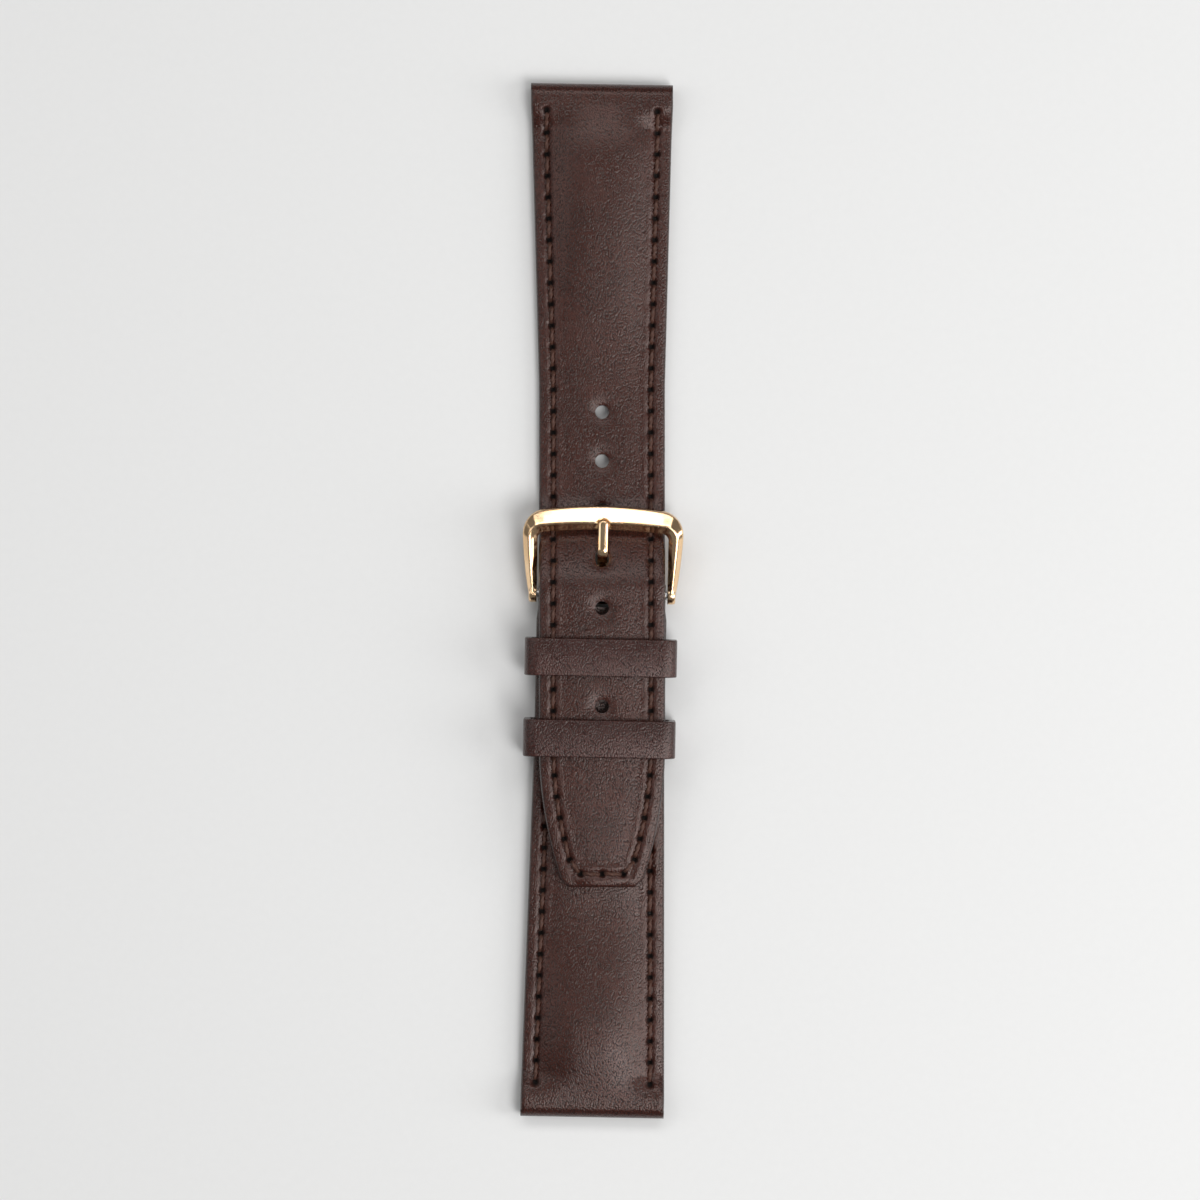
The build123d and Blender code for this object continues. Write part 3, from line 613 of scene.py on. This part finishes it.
# %% [markdown]
# The lug end of the long half isn't quite square in the photograph: its left corner stands
# about a third of a millimetre higher. The last centimetre is sheared by that much once it is
# made, which is easier than a skewed outline.

# %% Skew the lug end
SKEW = 0.017
SKEW_START, SKEW_RUN = 60, 10


def skew(piece):
    back = long_place.inverted()
    for v in piece.data.vertices:
        p = back @ v.co
        share = min(max((p.y - SKEW_START) / SKEW_RUN, 0), 1)
        v.co = long_place @ (p - Vector((0, SKEW * p.x * share * share * (3 - 2 * share), 0)))


# %% [markdown]
# With the heights, widths and seams at hand, the long half's face leather is one call. It is
# punched before its pits and edges are stored, so that the rims of the holes get their own.


# %% Make the long half's face leather
def from_long_lug(y):
    return LONG_LUG + LUG_LOOP - y


def from_tip(y):
    return y - TIP


long_leather = leather_skin(
    "long_half_face_leather", long_place, long_stations, long_half_width, long_low, long_high,
    from_long_lug, long_trees, from_tip, long_base,
)
punch(long_leather)
mark(long_leather, long_place, long_trees, long_half_width, HOLE_REACHES)
skew(long_leather)

# %% [markdown]
# The short half's face leather also folds round the buckle's spring bar. It has a bore at each
# end, and a slot through the loop that the tongue comes out of. Bores and slot are cut one after
# the other, because cutters that cross each other confuse the Boolean modifier.

# %% Make the short half's face leather
TONGUE_SLOT = (2.1, 3.8, 6)
TONGUE_SLOT_AT = (0, 0.1, 0)


def from_short_lug(y):
    return y + SHORT_LUG + LUG_LOOP


def plain_end(y):
    """Distance to a cut end where there is none near."""
    return FAR


short_leather = leather_skin(
    "short_half_face_leather", short_place, short_stations, short_half_width, short_low,
    short_high, from_short_lug, short_trees, plain_end, short_base,
)
bores = bmesh.new()
lug_centre = (0, -SHORT_LUG, SHORT_LOW + LUG_LOOP)
drill(bores, short_place, lug_centre, LUG_BORE, THROUGH_WIDTH, axis="X")
drill(bores, short_place, (0, 0, 0), BAR_BORE, THROUGH_WIDTH, axis="X")
cut(short_leather, bores)
slot = bmesh.new()
bmesh.ops.create_cube(slot, size=1)
bmesh.ops.scale(slot, vec=TONGUE_SLOT, verts=slot.verts)
bmesh.ops.translate(slot, vec=TONGUE_SLOT_AT, verts=slot.verts)
bmesh.ops.transform(slot, matrix=short_place, verts=slot.verts)
cut(short_leather, slot)
mark(short_leather, short_place, short_trees, short_half_width)

# %% [markdown]
# The lining is a thinner, softer leather glued to the underside. It shows as a fine line at the
# edge and as the whole back of the strap, with the bobbin stitches in it. It is rolled from a
# coarser grid, because it has no crown. The stitches pull its underside in as they pull the face.

# %% Section of the lining
LINING_INSET = 0.1
LINING_ROUND = 0.25
LINING_STEP = 0.3
DEEPEST_PULL = 0.45


def lining_skin(name, place, stations, half_at, low_at, trees, end_at):
    top_steps, side_steps, base_steps = 6, 3, 80
    columns = top_steps + base_steps + 2 * side_steps

    def point(i, j):
        y = stations[j]
        half, low = half_at(y) - LINING_INSET, low_at(y)
        end = edge_drop(max(end_at(y), 0), LINING_ROUND)
        if i <= top_steps:
            x = -half + 2 * half * i / top_steps
            return place @ Vector((x, y, low + LINING - HAIR - end))
        i -= top_steps
        hand = 1
        if i > side_steps + base_steps:
            i = 2 * side_steps + base_steps - i
            hand = -1
        if i < side_steps:
            z = low + LINING + (LINING_ROUND - LINING) * i / side_steps
            return place @ Vector((hand * half, y, z))
        x = half - 2 * half * (i - side_steps) / base_steps
        x = hand * half if hand < 0 else x
        pull = min(max(-pucker(trees, x, y), 0), DEEPEST_PULL)
        return place @ Vector((x, y, low + end + edge_drop(half - abs(x), LINING_ROUND) + pull))

    return rolled(name, columns, len(stations) - 1, point)


lining_tip = TIP + LINING_INSET
stations = steps(lining_tip, TIP + 0.5, 0.1)[:-1] + steps(TIP + 0.5, long_fold, LINING_STEP)
long_lining = lining_skin(
    "long_half_lining", long_place, stations, long_half_width, long_low, long_trees,
    lambda y: y - lining_tip,
)
punch(long_lining)
mark(long_lining, long_place, long_trees, long_half_width, HOLE_REACHES)
stations = steps(short_fold, BUCKLE_FOLD, LINING_STEP)
short_lining = lining_skin(
    "short_half_lining", short_place, stations, short_half_width, short_low, short_trees, plain_end
)
mark(short_lining, short_place, short_trees, short_half_width)

# %% [markdown]
# Each stitch is a short run of two-ply thread that comes up through one needle hole and goes
# down through the next. A round rod would look like wire, so the section is a soft two-lobed
# shape that turns along the run, which gives the light and dark bands of twisted thread. Each
# stitch starts and ends inside its holes and slants a little across the seam, as lock stitches
# do. All the stitches of a seam are one object.

# %% Lay the stitches
THREAD_RADIUS = 0.25
THREAD_FLATNESS = 0.86
PLY_DEPTH = 0.24
TURN_PER_MM = 2.4
END_GAP = 0.09
SLANT = 0.09
SUNK, RISE, RISE_SPEED = 0.5, 0.56, 4.5
END_TAPER = 0.35
THREAD_ROWS, THREAD_COLUMNS = 18, 12


def stitch(bm, start, finish, height_at, place, side):
    """One stitch between two needle holes, on the face (side 1) or the lining (side -1)."""
    rows, columns = THREAD_ROWS, THREAD_COLUMNS
    run = (finish - start).normalized()
    flat = Vector((-run.y, run.x))
    twist = TURN_PER_MM * (finish - start).length

    made = bmesh.ops.create_grid(bm, x_segments=columns, y_segments=rows, size=0.5)
    for v in made["verts"]:
        turn_by = 2 * pi * (round((v.co.x + 0.5) * columns) % columns) / columns
        t = round((v.co.y + 0.5) * rows) / rows
        middle = start.lerp(finish, END_GAP + (1 - 2 * END_GAP) * t) + flat * SLANT * (1 - 2 * t)
        lift = -SUNK + RISE * min(1, RISE_SPEED * t, RISE_SPEED * (1 - t)) ** 0.6
        swell = 1 - END_TAPER * (2 * abs(t - 0.5)) ** 5
        lobe = THREAD_RADIUS * swell * (1 + PLY_DEPTH * cos(2 * (turn_by - twist * t)))
        spread, rise = lobe * cos(turn_by), lobe * sin(turn_by) * THREAD_FLATNESS
        base = height_at(middle.x, middle.y)
        spot = middle + flat * spread
        v.co = place @ Vector((spot.x, spot.y, base + side * (lift + rise)))


def lay_seam(name, needles, height_at, place, side):
    bm = bmesh.new()
    for start, finish in zip(needles, needles[1:]):
        stitch(bm, start, finish, height_at, place, side)
    close(bm)
    piece = new_piece(name, bm)
    piece.data.shade_smooth()
    print(name, len(needles) - 1, "stitches", len(piece.data.polygons), "faces")
    return piece


# %% [markdown]
# The top thread lies on the face as it would be without the pull of the stitches, and the bobbin
# thread lies just inside the lining. A search tree with one far point stands for no seam at all.


# %% Stitch both halves
BOBBIN_INSET = 0.38
free_tree = tree([Vector((500, 500))])


def long_face(x, y):
    half, low, high = long_half_width(y), long_low(y), long_high(y)
    return face_height(x, y, half, low, high, from_long_lug(y), (free_tree, free_tree), from_tip(y))


def short_face(x, y):
    half, low, high = short_half_width(y), short_low(y), short_high(y)
    trees = (free_tree, free_tree)
    return face_height(x, y, half, low, high, from_short_lug(y), trees, plain_end(y))


def long_back(x, y):
    return long_low(y) + BOBBIN_INSET


def short_back(x, y):
    return short_low(y) + BOBBIN_INSET


long_top_thread = lay_seam("long_half_stitches", long_needles, long_face, long_place, 1)
name = "long_half_bobbin_stitches"
long_back_thread = lay_seam(name, long_needles, long_back, long_place, -1)
skew(long_top_thread)
skew(long_back_thread)
short_threads = {}
for hand, needles in short_needles.items():
    name = f"short_half_stitches_{hand}"
    short_threads[hand] = lay_seam(name, needles, short_face, short_place, 1)
    name = f"short_half_bobbin_stitches_{hand}"
    short_threads["back_" + hand] = lay_seam(name, needles, short_back, short_place, -1)

# %% [markdown]
# The keepers are strips of the same leather, folded to a loop. Their solids already have the
# right corners, so each one is a copy of its solid with its sharp edges bevelled, as a burnished
# edge is rounded. Modelling them again would only repeat the same sizes. Both edges are moved up
# by a fraction of a millimetre first, to where they lie in the photograph.

# %% Round the keepers
FIXED_REACH, FREE_REACH = 6.6, 18.0
KEEPER_WIDTH = 5
NEAR_SHIFT, FAR_SHIFT = 0.38, 0.12
BURNISH = 0.24
KEEPER_EDGE = 0.3


def keeper(name, node, reach):
    """Copy of a keeper's solid that starts at a reach, with rounded edges."""
    bm = bmesh.new()
    bm.from_mesh(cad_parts[node].data)
    back = short_place.inverted()
    for v in bm.verts:
        p = back @ v.co
        shift = NEAR_SHIFT if p.y > -reach - KEEPER_WIDTH / 2 else FAR_SHIFT
        v.co = short_place @ (p + Vector((0, shift, 0)))
    bmesh.ops.remove_doubles(bm, verts=bm.verts, dist=1e-7)
    bmesh.ops.dissolve_limit(
        bm, angle_limit=radians(2), use_dissolve_boundaries=False, verts=bm.verts, edges=bm.edges
    )
    sharp = [e for e in bm.edges if e.is_manifold and e.calc_face_angle(0) > radians(60)]
    bmesh.ops.bevel(
        bm, geom=sharp, offset=BURNISH * MM, offset_type="OFFSET", segments=4, profile=0.5,
        affect="EDGES", material=-1, clamp_overlap=True,
    )
    bmesh.ops.triangulate(bm, faces=bm.faces)
    piece = new_piece(name, bm)
    mesh = piece.data
    mesh.shade_smooth()
    mesh.set_sharp_from_angle(angle=radians(35))
    # Edge paint on the keeper's cut edges, which also paints the thin shadow line along them.
    edges = []
    for v in mesh.vertices:
        past = (back @ v.co).y + reach
        edges.append(max(0, 1 - min(abs(past), abs(past + KEEPER_WIDTH)) / KEEPER_EDGE))
    nothing = [0.0] * len(edges)
    for attribute, values in (("edge", edges), ("pit", nothing), ("painted_sheen", nothing)):
        store(mesh, attribute, values)
    print(name, len(mesh.polygons), "faces")
    return piece


fixed_loop = keeper("fixed_keeper_loop", "fixed_keeper", FIXED_REACH)
free_loop = keeper("free_keeper_loop", "free_keeper", FREE_REACH)

# %% [markdown]
# The spring inside the bar is pressed by the tips, so it has to shorten with them. Its solid is
# copied and parted in the middle.


# %% Part the spring
def spring_half(hand):
    bm = bmesh.new()
    bm.from_mesh(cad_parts["spring_bar_spring"].data)
    bmesh.ops.remove_doubles(bm, verts=bm.verts, dist=1e-8)
    side = 1 if hand == "right" else -1
    made = bmesh.ops.bisect_plane(
        bm, geom=bm.verts[:] + bm.edges[:] + bm.faces[:], plane_co=BAR * MM,
        plane_no=ACROSS * side, clear_inner=True,
    )
    rim = [e for e in made["geom_cut"] if isinstance(e, bmesh.types.BMEdge)]
    bmesh.ops.holes_fill(bm, edges=rim, sides=0)
    bmesh.ops.recalc_face_normals(bm, faces=bm.faces)
    piece = new_piece("spring_coils_" + hand, bm)
    piece.data.shade_smooth()
    print(piece.name, len(piece.data.polygons), "faces")
    return piece


spring_halves = {hand: spring_half(hand) for hand in ("left", "right")}

# %% [markdown]
# Finishes are node materials. Each one is built through a small helper, so that it reads as a
# recipe: add makes a node, and gives each input a value or joins it to another node, and wear
# does the same for the shader. Values that are the same everywhere go straight on the shader.


# %% Helpers for finishes
def feed(links, socket, value):
    """Joins a socket to another one, or gives it a plain value."""
    if isinstance(value, bpy.types.NodeSocket):
        links.new(value, socket)
    else:
        socket.default_value = value


class Finish:
    def __init__(self, name):
        self.material = bpy.data.materials.new(name)
        self.material.use_nodes = True
        self.nodes = self.material.node_tree.nodes
        self.links = self.material.node_tree.links
        self.shader = self.nodes["Principled BSDF"]
        self.place = self.add("ShaderNodeTexCoord").outputs["Object"]

    def add(self, kind, inputs=(), **settings):
        node = self.nodes.new(kind)
        for key, value in settings.items():
            setattr(node, key, value)
        for key, value in dict(inputs).items():
            feed(self.links, node.inputs[key], value)
        return node

    def noise(self, scale, detail, rough, stretch=None, turned=0):
        place = self.place
        if stretch:
            inputs = {"Vector": place, "Scale": stretch, "Rotation": (0, 0, turned)}
            place = self.add("ShaderNodeMapping", inputs).outputs[0]
        inputs = {"Vector": place, "Scale": scale, "Detail": detail, "Roughness": rough}
        return self.add("ShaderNodeTexNoise", inputs).outputs["Fac"]

    def cells(self, scale, stray, stretch, turned):
        """Distance from the middle of warped cells, from 0 out to about 0.8."""
        inputs = {"Vector": self.place, "Scale": scale * 0.6, "Detail": 2}
        warp = self.add("ShaderNodeTexNoise", inputs).outputs["Color"]
        warp = self.add("ShaderNodeVectorMath", {0: warp, "Scale": stray}, operation="SCALE")
        inputs = {0: self.place, 1: warp.outputs[0]}
        moved = self.add("ShaderNodeVectorMath", inputs, operation="ADD")
        inputs = {"Vector": moved.outputs[0], "Scale": stretch, "Rotation": (0, 0, turned)}
        place = self.add("ShaderNodeMapping", inputs).outputs[0]
        inputs = {"Vector": place, "Scale": scale}
        return self.add("ShaderNodeTexVoronoi", inputs, feature="F1").outputs["Distance"]

    def attribute(self, name):
        return self.add("ShaderNodeAttribute", attribute_name=name).outputs["Fac"]

    def remap(self, value, low, high, new_low, new_high):
        inputs = {0: value, 1: low, 2: high, 3: new_low, 4: new_high}
        return self.add("ShaderNodeMapRange", inputs).outputs[0]

    def sum(self, a, b):
        return self.add("ShaderNodeMath", {0: a, 1: b}, operation="ADD").outputs[0]

    def times(self, a, b):
        return self.add("ShaderNodeMath", {0: a, 1: b}, operation="MULTIPLY").outputs[0]

    def blend(self, share, first, second):
        """Mix of two colours. On the mix node, sockets 6 and 7 and output 2 are the colour ones."""
        mix = self.add("ShaderNodeMix", data_type="RGBA")
        for index, value in ((0, share), (6, first), (7, second)):
            feed(self.links, mix.inputs[index], value)
        return mix.outputs[2]

    def bump(self, height, distance, strength, under=None):
        inputs = {"Height": height, "Distance": distance, "Strength": strength}
        if under is not None:
            inputs["Normal"] = under
        return self.add("ShaderNodeBump", inputs).outputs[0]

    def wear(self, **sockets):
        for key, value in sockets.items():
            feed(self.links, self.shader.inputs[key.replace("_", " ")], value)
        return self.material


# %% [markdown]
# Smooth calf has a very fine pebble with darker valleys, soft folds over it, and a waxed sheen.
# The colour wanders a little. Painted shade makes it nearly black in the needle holes and dark
# on the walls of the punched holes. It is darker on the painted edge, which on the keepers also
# paints the thin shadow line along their edges, and a painted highlight makes it a touch lighter
# round the hole rims and on the swells beside the seams. The pebble is the square of the distance
# from the middle of small cells, which gives low domes.

# %% Calf leather
PEBBLES_PER_M = 4000
FOLDS_PER_M = 1500
GRAIN_TURN = radians(35)
# Edge paint, also used as painted shade on the hole walls and along the keepers' edges.
EDGE_PAINT_AND_SHADE = (0.008, 0.005, 0.005, 1)
# Painted shade for the needle holes, nearly black.
PIT_PAINTED_SHADE = (0.002, 0.0015, 0.0015, 1)


def calf(name, dark, light, rough):
    f = Finish(name)
    tone = f.noise(170, 4, 0.6)
    colour = f.blend(f.remap(tone, 0.35, 0.65, 0, 1), dark, light)
    pebble = f.cells(PEBBLES_PER_M, 0.00018, (1.25, 0.8, 1), GRAIN_TURN)
    valley = f.remap(pebble, 0.15, 0.65, 1.25, 0.5)
    hue = f.add("ShaderNodeHueSaturation", {"Color": colour, "Value": valley}).outputs[0]
    # Painted highlight: a lighter colour round the hole rims and on the swells beside the seams.
    sheen_colour = [min(1, c * 1.5) for c in light[:3]] + [1]
    with_sheen = f.blend(f.times(f.attribute("painted_sheen"), 0.35), hue, sheen_colour)
    # Edge paint on cut edges, and painted shade on the hole walls and along the keepers' edges.
    painted_edge_and_shade = f.blend(f.times(f.attribute("edge"), 0.75), with_sheen, EDGE_PAINT_AND_SHADE)
    # Painted shade: nearly black in the needle holes.
    pit_shaded = f.blend(f.attribute("pit"), painted_edge_and_shade, PIT_PAINTED_SHADE)
    folds = f.noise(FOLDS_PER_M, 3, 0.6, (1.3, 0.7, 1), GRAIN_TURN)
    domes = f.bump(f.times(pebble, pebble), -0.00005, 1.0)
    relief = f.bump(folds, 0.00006, 0.3, domes)
    gloss = f.remap(f.noise(FOLDS_PER_M, 3, 0.6), 0.3, 0.7, rough - 0.05, rough + 0.06)
    return f.wear(
        Base_Color=pit_shaded, Roughness=f.sum(gloss, f.times(f.attribute("pit"), 0.4)),
        Normal=relief, Specular_IOR_Level=0.44, Specular_Tint=(1, 0.87, 0.82, 1),
        Coat_Weight=0.05, Coat_Roughness=0.2,
    )


calf_brown = calf("dark_brown_calf", (0.036, 0.0095, 0.0065, 1), (0.050, 0.0135, 0.009, 1), 0.225)
keeper_brown = calf("keeper_calf", (0.040, 0.0105, 0.0085, 1), (0.052, 0.015, 0.012, 1), 0.225)
lining_tan = calf("lining_leather", (0.085, 0.045, 0.027, 1), (0.125, 0.07, 0.042, 1), 0.62)
print("calf finishes made")

# %% [markdown]
# Waxed polyester thread is a little warmer than the leather, with fibres along the ply that
# catch the light. Fine noise stretched along the strap stands for the fibres.


# %% Thread
def twisted_thread():
    f = Finish("brown_waxed_thread")
    fibre = f.noise(4200, 3, 0.7, (1.6, 0.5, 1.6))
    dark, light = (0.030, 0.0105, 0.007, 1), (0.105, 0.045, 0.029, 1)
    colour = f.blend(f.remap(fibre, 0.3, 0.7, 0, 1), dark, light)
    lift = f.bump(f.noise(9000, 2, 0.6, (1.4, 0.5, 1.4)), 0.00005, 0.7)
    return f.wear(
        Base_Color=colour, Roughness=f.remap(fibre, 0.3, 0.7, 0.42, 0.62), Normal=lift,
        Specular_IOR_Level=0.3, Sheen_Weight=0.05, Sheen_Roughness=0.4,
    )


thread_brown = twisted_thread()
print("thread finish made")

# %% [markdown]
# The buckle is polished and gold plated. Polishing leaves hair-fine lines along the bar and
# slight waves that bend the reflections, and it breaks the edges between the flats. A Bevel node
# gives the broken edges, because the solids keep them sharp. Steel for the spring bar is turned,
# with fine rings.


# %% Metal
def metal(name, deep, bright, rough, stretch, broken_edge):
    f = Finish(name)
    tone = f.noise(240, 3, 0.5)
    colour = f.blend(f.remap(tone, 0.35, 0.65, 0, 1), deep, bright)
    lines = f.noise(2600, 4, 0.65, stretch)
    edges = f.add("ShaderNodeBevel", {"Radius": broken_edge}, samples=8).outputs[0]
    waves = f.bump(f.noise(330, 2, 0.4), 0.00006, 0.35, edges)
    relief = f.bump(lines, 0.00001, 0.18, waves)
    return f.wear(
        Base_Color=colour, Metallic=1.0, Roughness=f.remap(lines, 0.3, 0.7, rough, rough + 0.09),
        Normal=relief,
    )


deep_gold, bright_gold = (0.90, 0.60, 0.34, 1), (0.96, 0.70, 0.44, 1)
deep_steel, bright_steel = (0.5, 0.5, 0.51, 1), (0.62, 0.62, 0.64, 1)
gold = metal("polished_gold_plate", deep_gold, bright_gold, 0.07, (0.25, 2, 2), 0.5 * MM)
steel = metal("turned_steel", deep_steel, bright_steel, 0.24, (3, 0.3, 0.3), 0.05 * MM)
print("metal finishes made")

# %% [markdown]
# Now each piece gets its finish, the solids that it stands for are hidden, and the short half's
# pieces and the keepers are joined to the body that they move with. The long half bends over the
# spring bar when the closure opens: its tip stays in the keepers with the short half, and its lug
# end swings up. Its pieces are joined to no body here and keep their place.


def paint(piece, finish):
    piece.data.materials.clear()
    piece.data.materials.append(finish)


def dress(piece, finish, nodes, body=None):
    """Finish and hidden solids of a piece, which rides one body or else keeps its place."""
    paint(piece, finish)
    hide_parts(*nodes)
    if body:
        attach(piece, body)
    else:
        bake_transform(piece)


dress(long_leather, calf_brown, ["long_top_leather", "long_filler"])
dress(long_lining, lining_tan, ["long_lining"])
dress(long_top_thread, thread_brown, ["long_seam_thread"])
dress(long_back_thread, thread_brown, ["long_bobbin_thread"])
nodes = ["short_top_leather", "short_filler"]
dress(short_leather, calf_brown, nodes, "short_half")
dress(short_lining, lining_tan, ["short_lining"], "short_half")
for hand in ("left", "right"):
    nodes = [f"short_seam_thread_{hand}"]
    dress(short_threads[hand], thread_brown, nodes, "short_half")
    nodes = [f"short_bobbin_thread_{hand}"]
    dress(short_threads["back_" + hand], thread_brown, nodes, "short_half")
dress(fixed_loop, keeper_brown, ["fixed_keeper"], "short_half")
dress(free_loop, keeper_brown, ["free_keeper"], "free_keeper")
print("leather and thread dressed")

# %% [markdown]
# The metal pieces stay as they are packed and only get their finish. The halves of the spring
# get the steel finish too, and the spring's solid is hidden.

# %% Dress the metal
for name in ("buckle_frame", "buckle_tongue"):
    paint(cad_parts[name], gold)
for name in ("barrel", "tip_left", "tip_right"):
    paint(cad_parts["spring_bar_" + name], steel)
for hand, piece in spring_halves.items():
    paint(piece, steel)
    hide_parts("spring_bar_spring")
    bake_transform(piece)

# %% [markdown]
# The photograph is taken from straight above with a long lens. The camera's lens is worked out
# from the width that the picture covers, 1200 pixels of 0.1408 mm. The picture's middle lies two
# pixels to the left of the buckle's bar and six below it.

# %% Camera
PIXEL = 0.1408
SPAN = 1200 * PIXEL * MM
HEIGHT = 0.9
SENSOR = 36
camera = bpy.data.cameras.new("overhead")
camera.sensor_width = SENSOR
camera.lens = SENSOR * HEIGHT / SPAN
camera.clip_start = 0.05
eye = bpy.data.objects.new("overhead", camera)
eye.location = (-2 * PIXEL * MM, (BAR_Y - 6 * PIXEL) * MM, HEIGHT + 0.003)
bpy.context.scene.collection.objects.link(eye)
bpy.context.scene.camera = eye
print("lens", round(camera.lens), "mm")

# %% [markdown]
# The floor is a sheet of matt pale card, a hair below the strap. A faint speck in its colour
# keeps it from looking like plain white paper.

# %% Floor
FLOOR_GAP = 0.00002
grid = bmesh.new()
bmesh.ops.create_grid(grid, x_segments=2, y_segments=2, size=3)
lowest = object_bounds()[0].z
floor = new_piece("floor", grid)
floor.location.z = min(0, lowest) - FLOOR_GAP
card = Finish("pale_card")
speck = card.remap(card.noise(900, 3, 0.6), 0.3, 0.7, 0, 1)
card.wear(
    Base_Color=card.blend(speck, (0.735, 0.735, 0.73, 1), (0.745, 0.745, 0.74, 1)),
    Roughness=0.9, Specular_IOR_Level=0.1,
)
floor.data.materials.append(card.material)
floor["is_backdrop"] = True
print("floor at", floor.location.z)

# %% [markdown]
# A soft lamp above, in front and to the right puts the sheen on the right half of the strap. A
# low one at the right throws the soft shadow to the left, one beyond the lug end whitens the
# front bevel of the buckle, and a weak one at the left lifts the dark side. The pale world fills
# the rest. Every lamp looks at the origin.


# %% Light
def softbox(name, place, size, power):
    lamp = bpy.data.lights.new(name, "AREA")
    lamp.shape = "RECTANGLE"
    lamp.size, lamp.size_y = size
    lamp.energy = power
    stand = bpy.data.objects.new(name, lamp)
    stand.location = place
    stand.rotation_euler = (-Vector(place)).to_track_quat("-Z", "Y").to_euler()
    bpy.context.scene.collection.objects.link(stand)


softbox("key", (0.24, -0.25, 0.64), (0.27, 0.42), 2.75)
softbox("side", (0.62, -0.08, 0.34), (0.3, 0.5), 2.2)
softbox("overhead", (0.0, 0.38, 0.6), (0.9, 0.22), 1.9)
softbox("left_card", (-0.55, 0.05, 0.5), (0.3, 0.5), 0.7)

world = bpy.data.worlds.new("studio")
bpy.context.scene.world = world
world.use_nodes = True
sky = world.node_tree.nodes["Background"]
sky.inputs["Color"].default_value = (1, 1, 1, 1)
sky.inputs["Strength"].default_value = 0.17
bpy.context.scene.view_settings.view_transform = "Standard"
print("lamps", len(bpy.data.lights))

# %% [markdown]
# The box round the solids and the box round the dressed strap are kept side by side, because the
# finished look may not grow past the real sizes.

# %% Keep the sizes and finish
boxes = {"solids": [list(c) for c in solid_box], "dressed": [list(c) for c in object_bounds()]}
print({k: [[round(v / MM, 2) for v in c] for c in b] for k, b in boxes.items()})
